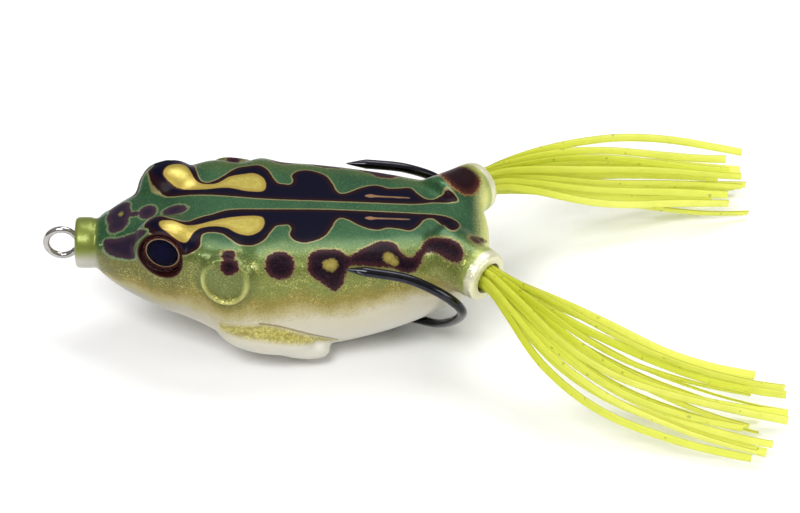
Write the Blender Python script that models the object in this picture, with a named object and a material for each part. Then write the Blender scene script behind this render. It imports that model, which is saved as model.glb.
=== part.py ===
"""Topwater popper: a hollow-body frog lure with a cupped nose, a double hook and two rubber-strand legs.

The frog lies along X with its nose at -X and its back up. The origin is on the flat of its belly.
Lengths below are in millimetres and become metres where a mesh is made.
"""

import math

import bmesh
import bpy
from mathutils import Vector

MM = 0.001

# Nose collar and its cup
NOSE_X = -32.5
NOSE_Z = 15.0
COLLAR_RADIUS = 3.9
COLLAR_BACK_X = -29.8
NECK_RADIUS = 3.5
CUP_MOUTH_RADIUS = 3.1
CUP_FLOOR_RADIUS = 2.5
CUP_DEPTH = 1.4
WIRE_BORE_RADIUS = 0.85

# Body skin
WALL = 1.3
TAIL_X = 30.4
TAIL_ROUND_X = 24.6
TAIL_ROUND_POWER = 2.4
BELLY_POWER = 2.4
# Stations of the body: x, half width, top, bottom, height of the widest line, squareness of the back
STATIONS = (
    (-29.4, 3.5, 18.5, 11.5, 15.0, 2.0),
    (-27.6, 5.4, 19.3, 10.0, 15.0, 2.3),
    (-25.0, 7.4, 20.2, 8.6, 15.0, 2.8),
    (-20.5, 9.6, 21.2, 6.4, 15.0, 3.4),
    (-14.5, 12.4, 22.6, 4.8, 15.0, 7.0),
    (-8.0, 15.3, 22.3, 1.9, 15.0, 5.0),
    (-2.0, 14.5, 22.1, -0.2, 15.0, 5.0),
    (6.0, 13.5, 21.9, -0.2, 15.0, 5.0),
    (14.0, 12.2, 21.5, 1.7, 15.0, 4.6),
    (20.0, 10.8, 21.2, 4.0, 15.0, 4.0),
    (25.0, 9.6, 20.9, 6.8, 15.0, 3.4),
    (30.4, 8.6, 20.3, 9.4, 15.0, 3.0),
)
RING_POINTS = 36
BODY_RINGS = 25
CAVITY_POINTS = 24
CAVITY_RINGS = 15
CAVITY_FRONT_X = -27.0

# Belly slot for the hook's shanks
SLOT_FRONT_X = 4.6
SLOT_BACK_X = 26.0
SLOT_HALF_WIDTH = 4.0
SLOT_TOP_Z = 9.0

# Eye bumps, pockets, foils and lenses
EYE_X = -18.8
EYE_Y = 9.6
EYE_Z = 19.9
EYE_FORWARD_TURN = math.radians(15)
EYE_DOWNWARD_TURN = math.radians(2)
EYE_BUMP_RADII = (5.3, 4.4, 4.3)
EYE_BUMP_INSET = 2.7
POCKET_RADIUS = 3.4
EYE_RADIUS = 3.2
EYE_SINK = 0.6
FOIL_THICKNESS = 0.35
LENS_RIM = 0.3
LENS_RISE = 1.5
EYE_GAP = 0.15

# Forelegs folded against the lower flank: the arm, and the hand below its back end
ARM_CENTRE = (-3.6, 12.0, 6.6)
ARM_RADII = (7.6, 2.6, 3.3)
ARM_TILT = math.radians(11)
HAND_CENTRE = (0.9, 10.8, 3.7)
HAND_RADII = (5.6, 2.3, 2.0)
HAND_TILT = math.radians(12)

# Hips
HIP_CENTRE = (24.6, 8.0, 18.6)
HIP_RADII = (4.6, 3.0, 2.5)

# Leg stubs: tubes that hold the strands. The soft stubs sit a little unevenly
# Each has its mouth, its turn out from straight back, and the middle of the bundle behind it
LEGS = {
    "left": {
        "side": -1,
        "mouth": (30.0, -11.7, 16.8),
        "turn": math.radians(41),
        "route": (
            (36.0, -16.8, 14.8),
            (43.0, -22.0, 11.9),
            (51.0, -25.8, 9.0),
            (60.0, -28.0, 6.4),
            (68.0, -29.2, 4.7),
            (74.0, -29.8, 3.9),
        ),
    },
    "right": {
        "side": 1,
        "mouth": (29.0, 12.1, 17.2),
        "turn": math.radians(47),
        "route": (
            (33.6, 17.0, 15.2),
            (40.0, 21.4, 12.4),
            (49.0, 25.2, 9.3),
            (58.0, 28.0, 6.9),
            (66.0, 29.8, 5.2),
            (72.0, 30.8, 4.4),
        ),
    },
}
STUB_DROP = 0.08
# Distance behind the mouth and radius, outside and in the bore
STUB_OUTSIDE = ((0.0, 3.65), (0.35, 3.9), (5.0, 4.3), (10.0, 4.8))
STUB_BORE = ((-0.6, 2.5), (0.6, 2.5), (2.0, 3.15), (5.0, 3.7), (8.8, 3.7))
LEG_PIVOT_DEPTH = 1.2

# Skirt bands
BAND_NEAR = 3.0
BAND_FAR = 4.6
BAND_INNER = 2.27
BAND_OUTER = 2.7

# Strands of the legs
STRAND_WIDTH = 0.9
STRAND_THICKNESS = 0.55
STRAND_ROOT_DEPTH = 4.8
ROW_PITCH = 0.67
COLUMN_PITCH = 1.0
STRANDS_IN_ROWS = (2, 4, 4, 4, 2)
STRAND_STEPS = 13
FAN_SIDEWAYS = {"left": 5.6, "right": 3.1}
FAN_UPWARDS = 1.0
# Where along a strand the fan opens, and over how much of its length
FAN_START = 0.1
FAN_SPAN = 0.55
STRAND_WANDER = 0.5

# Line-tie wire
WIRE_RADIUS = 0.5
RING_RADIUS = 2.4
RING_X = -34.6
LOOP_X = -18.5
LOOP_Z = 14.4
LOOP_RADIUS = 1.7

# Double hook: the right half of its centre line, from the middle of its front eye to the point
HOOK_RADIUS = 0.75
HOOK_EYE = ((-18.5, 0.0, 14.4), (-18.1, 1.05, 14.25), (-17.0, 1.6, 13.85))
HOOK_SHANK = (
    (-14.5, 1.35, 12.95),
    (-11.0, 1.0, 11.7),
    (-4.0, 0.95, 9.2),
    (5.0, 0.95, 6.0),
    (11.0, 1.15, 3.9),
)
HOOK_BEND = (
    (14.5, 1.35, 2.8),
    (18.8, 2.6, 2.6),
    (22.5, 6.1, 4.2),
    (25.1, 10.2, 7.9),
    (26.0, 13.4, 12.1),
    (23.1, 14.7, 16.0),
    (18.0, 14.4, 18.6),
    (12.5, 14.1, 19.6),
    (8.4, 13.8, 20.0),
)
HOOK_STEP = 2.1
POINT_LENGTH = 3.2
BARB_BACK = 3.4
BARB_RISE = 0.95

# Keel weight round the shanks
WEIGHT_CENTRE = (-1.0, 0.0, 8.15)
WEIGHT_RADII = (6.6, 3.6, 2.7)
WEIGHT_CHANNEL = (2.1, 1.15)

COLOURS = {
    "body": ((0.10, 0.36, 0.14), 0.28, 0.25),
    "foil": ((0.20, 0.06, 0.03), 0.25, 0.7),
    "lens": ((0.85, 0.90, 0.92), 0.03, 0.0),
    "bright_wire": ((0.72, 0.72, 0.72), 0.18, 1.0),
    "black_wire": ((0.03, 0.03, 0.035), 0.2, 1.0),
    "lead": ((0.22, 0.22, 0.24), 0.6, 0.8),
    "band": ((0.55, 0.53, 0.42), 0.7, 0.0),
    "strand": ((0.62, 0.74, 0.05), 0.4, 0.0),
}


def clear_scene():
    for obj in list(bpy.data.objects):
        bpy.data.objects.remove(obj, do_unlink=True)


def make_material(name):
    colour, roughness, metallic = COLOURS[name]
    material = bpy.data.materials.new(name)
    material.use_nodes = True
    shader = material.node_tree.nodes["Principled BSDF"]
    shader.inputs["Base Color"].default_value = (*colour, 1.0)
    shader.inputs["Roughness"].default_value = roughness
    shader.inputs["Metallic"].default_value = metallic
    material.diffuse_color = (*colour, 1.0)
    return material


def add_object(name, points, faces, material, origin=(0.0, 0.0, 0.0)):
    """An object from points in millimetres, with its origin at the given point and its faces outwards."""
    start = Vector(origin)
    mesh = bpy.data.meshes.new(name)
    mesh.from_pydata([(Vector(p) - start) * MM for p in points], [], faces)
    turned = bmesh.new()
    turned.from_mesh(mesh)
    bmesh.ops.recalc_face_normals(turned, faces=turned.faces)
    turned.to_mesh(mesh)
    turned.free()
    mesh.shade_smooth()
    mesh.set_sharp_from_angle(angle=math.radians(35))
    if material is not None:
        mesh.materials.append(material)
    obj = bpy.data.objects.new(name, mesh)
    obj.location = start * MM
    bpy.context.scene.collection.objects.link(obj)
    return obj


def cut_or_join(target, tool, operation):
    """A Boolean on the target. The tool stays as a hidden guide."""
    tool.hide_render = True
    tool.display_type = "WIRE"
    modifier = target.modifiers.new(tool.name, "BOOLEAN")
    modifier.operation = operation
    modifier.solver = "EXACT"
    modifier.object = tool


def loft(rings):
    """Points and faces of a closed body through rings of equal length, with a flat cap at each end."""
    count = len(rings[0])
    points = [p for ring in rings for p in ring]
    faces = [tuple(range(count)), tuple(range(len(points) - count, len(points)))]
    for r in range(len(rings) - 1):
        for i in range(count):
            j = (i + 1) % count
            faces.append((r * count + i, r * count + j, (r + 1) * count + j, (r + 1) * count + i))
    return points, faces


def catmull_rom(points, t):
    """The smooth curve through points at t, which runs from 0 to the last point's index."""
    last = len(points) - 1
    i = min(int(t), last - 1)
    f = t - i
    p = [Vector(points[min(max(k, 0), last)]) for k in (i - 1, i, i + 1, i + 2)]
    if i == 0:
        p[0] = 2 * p[1] - p[2]
    if i == last - 1:
        p[3] = 2 * p[2] - p[1]
    near = p[1] * 2 + (p[2] - p[0]) * f
    bent = (2 * p[0] - 5 * p[1] + 4 * p[2] - p[3]) * f * f
    far = (3 * p[1] - p[0] - 3 * p[2] + p[3]) * f * f * f
    return (near + bent + far) / 2


def even_route(points, step):
    """Points about one step apart along the smooth curve through the given points."""
    dense = [catmull_rom(points, k / 40) for k in range(40 * (len(points) - 1) + 1)]
    along = [0.0]
    for a, b in zip(dense, dense[1:]):
        along.append(along[-1] + (b - a).length)
    count = max(2, round(along[-1] / step))
    route = []
    k = 0
    for n in range(count + 1):
        goal = along[-1] * n / count
        while k < len(along) - 2 and along[k + 1] < goal:
            k += 1
        share = (goal - along[k]) / (along[k + 1] - along[k])
        route.append(dense[k].lerp(dense[k + 1], min(max(share, 0.0), 1.0)))
    return route


def turning_frames(route, side):
    """A tangent and two cross directions at each point, carried along the route without twist."""
    frames = []
    for k, here in enumerate(route):
        tangent = (route[min(k + 1, len(route) - 1)] - route[max(k - 1, 0)]).normalized()
        side = (side - tangent * side.dot(tangent)).normalized()
        frames.append((here, tangent, side, tangent.cross(side)))
    return frames


def round_wire(route, radius_at, sides, side=Vector((0, 1, 0))):
    rings = []
    for k, (here, _, across, up) in enumerate(turning_frames(route, side)):
        radius = radius_at(k)
        turns = [2 * math.pi * i / sides for i in range(sides)]
        rings.append([here + (across * math.cos(a) + up * math.sin(a)) * radius for a in turns])
    return loft(rings)


def turned_body(profile, start, axis, sides):
    """A turned solid: profile holds distances along the axis from start, and radii."""
    axis = Vector(axis).normalized()
    across = axis.orthogonal().normalized()
    up = axis.cross(across)
    rings = []
    for distance, radius in profile:
        centre = Vector(start) + axis * distance
        turns = [2 * math.pi * i / sides for i in range(sides)]
        rings.append([centre + (across * math.cos(a) + up * math.sin(a)) * radius for a in turns])
    return loft(rings)


def ellipsoid(centre, radii, sides=20, rows=10, tilt=0.0):
    """Points and faces of an ellipsoid, tilted about Y."""
    rings = []
    for r in range(rows + 1):
        polar = math.pi * (r + 0.25) / (rows + 0.5)
        ring = []
        for i in range(sides):
            a = 2 * math.pi * i / sides
            x = -radii[0] * math.cos(polar)
            y = radii[1] * math.sin(polar) * math.cos(a)
            z = radii[2] * math.sin(polar) * math.sin(a)
            turned = (x * math.cos(tilt) + z * math.sin(tilt), y, z * math.cos(tilt) - x * math.sin(tilt))
            ring.append(Vector(centre) + Vector(turned))
        rings.append(ring)
    return loft(rings)


def box(low, high):
    corners = [(x, y, z) for x in (low[0], high[0]) for y in (low[1], high[1]) for z in (low[2], high[2])]
    faces = [(0, 1, 3, 2), (4, 6, 7, 5), (0, 4, 5, 1), (2, 3, 7, 6), (0, 2, 6, 4), (1, 5, 7, 3)]
    return corners, faces


def station_at(x):
    """Half width, top, bottom, widest height and squareness of the body at x."""
    xs = [s[0] for s in STATIONS]
    i = max(k for k in range(len(xs) - 1) if xs[k] <= max(x, xs[0]))
    f = (min(max(x, xs[0]), xs[-1]) - xs[i]) / (xs[i + 1] - xs[i])
    values = []
    for column in range(1, 6):
        v0, v1 = STATIONS[i][column], STATIONS[i + 1][column]
        rise = v1 - v0
        span = xs[i + 1] - xs[i]
        slope0 = rise if i == 0 else (v1 - STATIONS[i - 1][column]) / (xs[i + 1] - xs[i - 1]) * span
        last = i + 2 >= len(xs)
        slope1 = rise if last else (STATIONS[i + 2][column] - v0) / (xs[i + 2] - xs[i]) * span
        curve = (2 * f**3 - 3 * f**2 + 1) * v0 + (f**3 - 2 * f**2 + f) * slope0
        values.append(curve + (3 * f**2 - 2 * f**3) * v1 + (f**3 - f**2) * slope1)
    return values


def body_ring(x, inset, count, tail_x):
    """One cross-section of the body at x, drawn in by inset and closing towards tail_x."""
    width, top, bottom, middle, square = station_at(x)
    close = 1.0
    if x > TAIL_ROUND_X:
        reach = min((x - TAIL_ROUND_X) / (tail_x - TAIL_ROUND_X), 1.0)
        close = (1 - reach**TAIL_ROUND_POWER) ** (1 / TAIL_ROUND_POWER)
    ring = []
    for i in range(count):
        a = 2 * math.pi * (i + 0.5) / count
        c, s = math.cos(a), math.sin(a)
        power = square if s > 0 else BELLY_POWER
        height = (top - middle) if s > 0 else (middle - bottom)
        reach = (abs(c) ** power + abs(s) ** power) ** (-1 / power)
        ring.append((x, (width - inset) * close * c * reach, middle + (height - inset) * close * s * reach))
    return ring


def circle_ring(x, radius, count):
    turns = [2 * math.pi * (i + 0.5) / count for i in range(count)]
    return [(x, radius * math.cos(a), NOSE_Z + radius * math.sin(a)) for a in turns]


def ring_places(first, last, count):
    """Places along the body that crowd towards the rounded tail."""
    return [first + (last - first) * math.sin(math.pi / 2 * (k / (count - 1)) ** 0.92) for k in range(count)]


def outer_skin():
    rings = [circle_ring(NOSE_X, COLLAR_RADIUS - 0.3, RING_POINTS)]
    rings.append(circle_ring(NOSE_X + 0.3, COLLAR_RADIUS, RING_POINTS))
    rings.append(circle_ring(COLLAR_BACK_X, COLLAR_RADIUS, RING_POINTS))
    rings.append(circle_ring(COLLAR_BACK_X + 0.25, NECK_RADIUS, RING_POINTS))
    for x in ring_places(STATIONS[0][0], TAIL_X - 0.12, BODY_RINGS):
        rings.append(body_ring(x, 0.0, RING_POINTS, TAIL_X))
    return loft(rings)


def cavity():
    tail = TAIL_X - WALL
    places = ring_places(CAVITY_FRONT_X, tail - 0.2, CAVITY_RINGS)
    return loft([body_ring(x, WALL, CAVITY_POINTS, tail) for x in places])


def stub_axis(leg):
    """The unit vector out of a leg stub's mouth."""
    return Vector((math.cos(leg["turn"]), leg["side"] * math.sin(leg["turn"]), -STUB_DROP)).normalized()


def leg_pivot(leg):
    return Vector(leg["mouth"]) - stub_axis(leg) * LEG_PIVOT_DEPTH


def eye_axis(side):
    flat = math.cos(EYE_DOWNWARD_TURN)
    forward, outward = math.sin(EYE_FORWARD_TURN), math.cos(EYE_FORWARD_TURN)
    return Vector((-flat * forward, side * flat * outward, -math.sin(EYE_DOWNWARD_TURN)))


def mirrored(point, side):
    return (point[0], side * point[1], point[2])


def make_body(material):
    body = add_object("body_shell", *outer_skin(), material)
    for name, leg in LEGS.items():
        side = leg["side"]
        eye = Vector(mirrored((EYE_X, EYE_Y, EYE_Z), side))
        bump = ellipsoid(eye - eye_axis(side) * EYE_BUMP_INSET, EYE_BUMP_RADII)
        cut_or_join(body, add_object(f"{name}_eye_bump", *bump, None), "UNION")
        arm = ellipsoid(mirrored(ARM_CENTRE, side), ARM_RADII, tilt=ARM_TILT)
        cut_or_join(body, add_object(f"{name}_arm", *arm, None), "UNION")
        hand = ellipsoid(mirrored(HAND_CENTRE, side), HAND_RADII, tilt=HAND_TILT)
        cut_or_join(body, add_object(f"{name}_hand", *hand, None), "UNION")
        hip = ellipsoid(mirrored(HIP_CENTRE, side), HIP_RADII)
        cut_or_join(body, add_object(f"{name}_hip", *hip, None), "UNION")
        stub = turned_body(STUB_OUTSIDE, leg["mouth"], -stub_axis(leg), 28)
        cut_or_join(body, add_object(f"{name}_stub", *stub, None), "UNION")
    cut_or_join(body, add_object("hollow", *cavity(), None), "DIFFERENCE")
    cup = ((-0.2, CUP_MOUTH_RADIUS), (CUP_DEPTH, CUP_FLOOR_RADIUS))
    cup_solid = turned_body(cup, (NOSE_X, 0, NOSE_Z), (1, 0, 0), 24)
    cut_or_join(body, add_object("nose_cup", *cup_solid, None), "DIFFERENCE")
    bore = ((CUP_DEPTH / 2, WIRE_BORE_RADIUS), (CAVITY_FRONT_X - NOSE_X + 1.0, WIRE_BORE_RADIUS))
    bore_solid = turned_body(bore, (NOSE_X, 0, NOSE_Z), (1, 0, 0), 16)
    cut_or_join(body, add_object("wire_bore", *bore_solid, None), "DIFFERENCE")
    for name, leg in LEGS.items():
        side = leg["side"]
        eye = Vector(mirrored((EYE_X, EYE_Y, EYE_Z), side))
        pocket = ((0.0, POCKET_RADIUS), (4.0, POCKET_RADIUS))
        pocket_solid = turned_body(pocket, eye - eye_axis(side) * EYE_SINK, eye_axis(side), 28)
        cut_or_join(body, add_object(f"{name}_eye_pocket", *pocket_solid, None), "DIFFERENCE")
        leg_bore = turned_body(STUB_BORE, leg["mouth"], -stub_axis(leg), 24)
        cut_or_join(body, add_object(f"{name}_stub_bore", *leg_bore, None), "DIFFERENCE")
    slot = box((SLOT_FRONT_X, -SLOT_HALF_WIDTH, -4.0), (SLOT_BACK_X, SLOT_HALF_WIDTH, SLOT_TOP_Z))
    cut_or_join(body, add_object("belly_slot", *slot, None), "DIFFERENCE")
    ground = box((-50.0, -40.0, -10.0), (50.0, 40.0, 0.0))
    cut_or_join(body, add_object("belly_flat", *ground, None), "DIFFERENCE")


def make_eyes(foil_material, lens_material):
    for side, name in ((-1, "left"), (1, "right")):
        axis = eye_axis(side)
        floor = Vector(mirrored((EYE_X, EYE_Y, EYE_Z), side)) - axis * EYE_SINK
        foil = ((EYE_GAP, EYE_RADIUS), (EYE_GAP + FOIL_THICKNESS, EYE_RADIUS))
        add_object(f"{name}_eye_foil", *turned_body(foil, floor, axis, 28), foil_material)
        seat = 2 * EYE_GAP + FOIL_THICKNESS
        lens = [(seat, EYE_RADIUS), (seat + LENS_RIM, EYE_RADIUS)]
        for k in range(1, 6):
            turn = math.pi / 2 * k / 5.3
            lens.append((seat + LENS_RIM + LENS_RISE * math.sin(turn), EYE_RADIUS * math.cos(turn)))
        add_object(f"{name}_eye_lens", *turned_body(lens, floor, axis, 28), lens_material)


def make_line_tie(material):
    """The front ring, the shaft through the nose and the rear loop, bent from one wire."""
    points = []
    for degrees in range(-28, -331, -26):
        a = math.radians(degrees)
        points.append((RING_X + RING_RADIUS * math.cos(a), 0.0, NOSE_Z + RING_RADIUS * math.sin(a)))
    ring_back = RING_X + RING_RADIUS
    points += [(ring_back + 0.7, 0.0, NOSE_Z + 0.15), (ring_back + 2.4, 0.0, NOSE_Z)]
    points += [(-26.0, 0.0, NOSE_Z), (LOOP_X - LOOP_RADIUS - 1.6, 0.0, NOSE_Z + 0.25)]
    for degrees in range(140, -171, -31):
        a = math.radians(degrees)
        points.append((LOOP_X + LOOP_RADIUS * math.cos(a), 0.0, LOOP_Z + LOOP_RADIUS * math.sin(a)))
    route = even_route(points, 0.75)
    add_object("line_tie_wire", *round_wire(route, lambda k: WIRE_RADIUS, 8), material, (NOSE_X, 0, NOSE_Z))


def hook_route():
    half = list(HOOK_EYE) + list(HOOK_SHANK) + list(HOOK_BEND)
    left = [mirrored(p, -1) for p in reversed(half[1:])]
    return even_route(left + half, HOOK_STEP)


def make_hook(material):
    route = hook_route()
    last = len(route) - 1
    point_steps = POINT_LENGTH / HOOK_STEP

    def radius_at(k):
        from_end = min(k, last - k)
        return HOOK_RADIUS * min(1.0, 0.12 + 0.88 * from_end / point_steps)

    hook = add_object("double_hook", *round_wire(route, radius_at, 8), material, (LOOP_X, 0, LOOP_Z))
    for side, name in ((-1, "left"), (1, "right")):
        tip = Vector(mirrored(HOOK_BEND[-1], side))
        back = (Vector(mirrored(HOOK_BEND[-2], side)) - tip).normalized()
        inward = Vector((0.0, -side, 0.0))
        inward = (inward - back * inward.dot(back)).normalized()
        start = tip + back * BARB_BACK * 0.45 - inward * 0.05
        end = tip + back * BARB_BACK - inward * BARB_RISE
        barb = turned_body(((0.0, 0.1), ((end - start).length, 0.22)), start, end - start, 8)
        cut_or_join(hook, add_object(f"{name}_barb", *barb, None), "UNION")


def make_weight(material):
    """A lead keel weight with a channel for the two shanks."""
    start = Vector((HOOK_SHANK[1][0], 0.0, HOOK_SHANK[1][2]))
    end = Vector((HOOK_SHANK[3][0], 0.0, HOOK_SHANK[3][2]))
    along = (end - start).normalized()
    up = along.cross(Vector((0, 1, 0)))
    tilt = math.atan2(start.z - end.z, end.x - start.x)
    weight = add_object("keel_weight", *ellipsoid(WEIGHT_CENTRE, WEIGHT_RADII, tilt=tilt), material)
    half_width, half_height = WEIGHT_CHANNEL
    corners = [(-1, -1), (1, -1), (1, 1), (-1, 1)]
    rings = []
    for reach in (-4.0, (end - start).length + 4.0):
        centre = start + along * reach
        rings.append([centre + Vector((0, c * half_width, 0)) + up * (h * half_height) for c, h in corners])
    cut_or_join(weight, add_object("shank_channel", *loft(rings), None), "DIFFERENCE")


def make_band(name, leg, material):
    inner, outer = BAND_INNER, BAND_OUTER
    profile = ((BAND_NEAR, inner), (BAND_NEAR, outer), (BAND_FAR, outer), (BAND_FAR, inner))
    axis = -stub_axis(leg)
    across = axis.orthogonal().normalized()
    up = axis.cross(across)
    sides = 24
    points = []
    for i in range(sides):
        a = 2 * math.pi * i / sides
        outward = across * math.cos(a) + up * math.sin(a)
        points += [Vector(leg["mouth"]) + axis * distance + outward * radius for distance, radius in profile]
    faces = []
    for i in range(sides):
        j = (i + 1) % sides
        for k in range(4):
            m = (k + 1) % 4
            faces.append((4 * i + k, 4 * i + m, 4 * j + m, 4 * j + k))
    add_object(f"{name}_skirt_band", points, faces, material, leg_pivot(leg))


def strand_places():
    """Each strand's place in the bundle: sideways and upwards from the bundle's middle."""
    places = []
    for row, count in enumerate(STRANDS_IN_ROWS):
        sideways = (row - (len(STRANDS_IN_ROWS) - 1) / 2) * ROW_PITCH
        for column in range(count):
            places.append((sideways, (column - (count - 1) / 2) * COLUMN_PITCH))
    return places


def strand_route(name, leg, number, sideways, upwards):
    """The centre line of one strand: straight through the stub, then fanning out and down to the ground."""
    mouth = Vector(leg["mouth"])
    axis = stub_axis(leg)
    side = leg["side"]
    middle = [mouth - axis * STRAND_ROOT_DEPTH, mouth - axis * 1.8, mouth + axis * 1.2, *leg["route"]]
    route = even_route(middle, 1.0)
    length = len(route) - 1
    reach = 0.94 + 0.06 * math.sin(2.4 * number + side)
    points = []
    for k in range(STRAND_STEPS + 1):
        share = k / STRAND_STEPS * reach
        place = share * length
        here = route[int(place)].lerp(route[min(int(place) + 1, length)], place - int(place))
        ahead = (route[min(int(place) + 2, length)] - route[max(int(place) - 1, 0)]).normalized()
        across = Vector((ahead.y, -ahead.x, 0.0)).normalized() * -side
        up = ahead.cross(across) * side
        fan = math.sin(math.pi / 2 * min(1.0, max(0.0, (share - FAN_START) / FAN_SPAN))) ** 1.3
        wander = STRAND_WANDER * fan * math.sin(1.7 * number + 7.0 * share)
        spread = sideways * (1 + FAN_SIDEWAYS[name] * fan) + wander
        points.append(here + across * spread + up * upwards * (1 + FAN_UPWARDS * fan))
    return points


def make_strand(name, leg, number, place, material):
    route = strand_route(name, leg, number, *place)
    rings = []
    for here, _, across, up in turning_frames(route, Vector((0, 1, 0))):
        corners = [(-1, -1), (1, -1), (1, 1), (-1, 1)]
        half = (STRAND_THICKNESS / 2, STRAND_WIDTH / 2)
        rings.append([here + across * (a * half[0]) + up * (b * half[1]) for a, b in corners])
    add_object(f"{name}_strand_{number:02d}", *loft(rings), material, leg_pivot(leg))


def main():
    clear_scene()
    materials = {name: make_material(name) for name in COLOURS}
    make_body(materials["body"])
    make_eyes(materials["foil"], materials["lens"])
    make_line_tie(materials["bright_wire"])
    make_hook(materials["black_wire"])
    make_weight(materials["lead"])
    for name, leg in LEGS.items():
        make_band(name, leg, materials["band"])
        for number, place in enumerate(strand_places(), start=1):
            make_strand(name, leg, number, place, materials["strand"])


main()
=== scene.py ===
import math
import random

import bmesh
import bpy
import numpy as np
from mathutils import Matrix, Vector
from mathutils.bvhtree import BVHTree


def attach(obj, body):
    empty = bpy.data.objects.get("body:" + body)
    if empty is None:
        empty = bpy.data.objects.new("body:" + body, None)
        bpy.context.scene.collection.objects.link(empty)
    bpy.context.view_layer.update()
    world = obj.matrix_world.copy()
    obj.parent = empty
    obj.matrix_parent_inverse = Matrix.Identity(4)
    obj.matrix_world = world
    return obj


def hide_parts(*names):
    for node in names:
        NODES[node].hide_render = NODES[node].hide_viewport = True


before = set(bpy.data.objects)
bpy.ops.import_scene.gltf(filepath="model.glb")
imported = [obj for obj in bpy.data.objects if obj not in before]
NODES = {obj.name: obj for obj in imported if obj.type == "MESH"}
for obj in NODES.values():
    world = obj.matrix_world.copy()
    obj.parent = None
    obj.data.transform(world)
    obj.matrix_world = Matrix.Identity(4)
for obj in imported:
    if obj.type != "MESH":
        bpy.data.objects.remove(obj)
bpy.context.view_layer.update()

MM, PER_METRE = 0.001, 1000.0

# ---------------------------------------------------------------- dimensions, in millimetres, as in the CAD
NOSE_X, NOSE_Z = -32.5, 15.0
COLLAR_RADIUS, COLLAR_BACK_X, NECK_RADIUS = 3.9, -29.8, 3.5
CUP_MOUTH_RADIUS, CUP_FLOOR_RADIUS, CUP_DEPTH = 3.1, 2.5, 1.4
WIRE_BORE_RADIUS = 0.85
WALL = 1.3
TAIL_X, TAIL_ROUND_X, TAIL_ROUND_POWER = 30.4, 24.6, 2.4
BELLY_POWER = 2.4
CAVITY_FRONT_X = -27.0
MIDDLE_Z = 15.0
# Stations of the body: x, half width, top, bottom, squareness of the back
STATIONS = (
    (-29.4, 3.5, 18.5, 11.5, 2.0),
    (-27.6, 5.4, 19.3, 10.0, 2.3),
    (-25.0, 7.4, 20.2, 8.6, 2.8),
    (-20.5, 9.6, 21.2, 6.4, 3.4),
    (-14.5, 12.4, 22.6, 4.8, 7.0),
    (-8.0, 15.3, 22.3, 1.9, 5.0),
    (-2.0, 14.5, 22.1, -0.2, 5.0),
    (6.0, 13.5, 21.9, -0.2, 5.0),
    (14.0, 12.2, 21.5, 1.7, 4.6),
    (20.0, 10.8, 21.2, 4.0, 4.0),
    (25.0, 9.6, 20.9, 6.8, 3.4),
    (30.4, 8.6, 20.3, 9.4, 3.0),
)
SLOT_LOW = (4.6, -4.0, -4.0)
SLOT_HIGH = (26.0, 4.0, 9.0)
EYE = (-18.8, 9.6, 19.9)
EYE_FORWARD_TURN, EYE_DOWNWARD_TURN = math.radians(15), math.radians(2)
EYE_BUMP_RADII, EYE_BUMP_INSET = (5.3, 4.4, 4.3), 2.7
POCKET_RADIUS, EYE_RADIUS, EYE_SINK = 3.4, 3.2, 0.6
FOIL_THICKNESS, LENS_RIM, LENS_RISE, EYE_GAP = 0.35, 0.3, 1.5, 0.15
ARM_CENTRE, ARM_RADII, ARM_TILT = (-3.6, 12.0, 6.6), (7.6, 2.6, 3.3), math.radians(11)
HAND_CENTRE, HAND_RADII, HAND_TILT = (0.9, 10.8, 3.7), (5.6, 2.3, 2.0), math.radians(12)
HIP_CENTRE, HIP_RADII = (24.6, 8.0, 18.6), (4.6, 3.0, 2.5)
LEGS = {
    "left": {
        "side": -1,
        "mouth": (30.0, -11.7, 16.8),
        "turn": math.radians(41),
        "route": ((36.0, -16.8, 14.8), (43.0, -22.0, 11.9), (51.0, -25.8, 9.0),
                  (60.0, -28.0, 6.4), (68.0, -29.2, 4.7), (74.0, -29.8, 3.9)),
    },
    "right": {
        "side": 1,
        "mouth": (29.0, 12.1, 17.2),
        "turn": math.radians(47),
        "route": ((33.6, 17.0, 15.2), (40.0, 21.4, 12.4), (49.0, 25.2, 9.3),
                  (58.0, 28.0, 6.9), (66.0, 29.8, 5.2), (72.0, 30.8, 4.4)),
    },
}
STUB_DROP = 0.08
STUB_OUTSIDE = ((0.0, 3.65), (0.35, 3.9), (5.0, 4.3), (10.0, 4.8))
STUB_BORE = ((-0.6, 2.5), (0.6, 2.5), (2.0, 3.15), (5.0, 3.7), (8.8, 3.7))
STRAND_ROOT_DEPTH = 4.8
# Wider and thinner than in the CAD
STRAND_WIDTH, STRAND_THICKNESS = 1.15, 0.36
ROW_PITCH, COLUMN_PITCH, STRANDS_IN_ROWS = 0.67, 1.0, (2, 4, 4, 4, 2)
FAN_SIDEWAYS = {"left": 5.6, "right": 3.1}
FAN_UPWARDS, FAN_START, FAN_SPAN, STRAND_WANDER = 1.0, 0.1, 0.55, 0.5
# The strand that strays above the far bundle, and by how much at most
STRAY_LIFT = {("right", 16): 2.6}
WIRE_RADIUS, RING_RADIUS, RING_X = 0.5, 2.4, -34.6
LOOP_X, LOOP_Z, LOOP_RADIUS = -18.5, 14.4, 1.7
HOOK_RADIUS = 0.75
HOOK_EYE = ((-18.5, 0.0, 14.4), (-18.1, 1.05, 14.25), (-17.0, 1.6, 13.85))
HOOK_SHANK = (
    (-14.5, 1.35, 12.95), (-11.0, 1.0, 11.7), (-4.0, 0.95, 9.2), (5.0, 0.95, 6.0), (11.0, 1.15, 3.9),
)
HOOK_BEND = (
    (14.5, 1.35, 2.8), (18.8, 2.6, 2.6), (22.5, 6.1, 4.2), (25.1, 10.2, 7.9), (26.0, 13.4, 12.1),
    (23.1, 14.7, 16.0), (18.0, 14.4, 18.6), (12.5, 14.1, 19.6), (8.4, 13.8, 20.0),
)
POINT_LENGTH, BARB_BACK, BARB_RISE = 3.2, 3.4, 0.95

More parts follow.
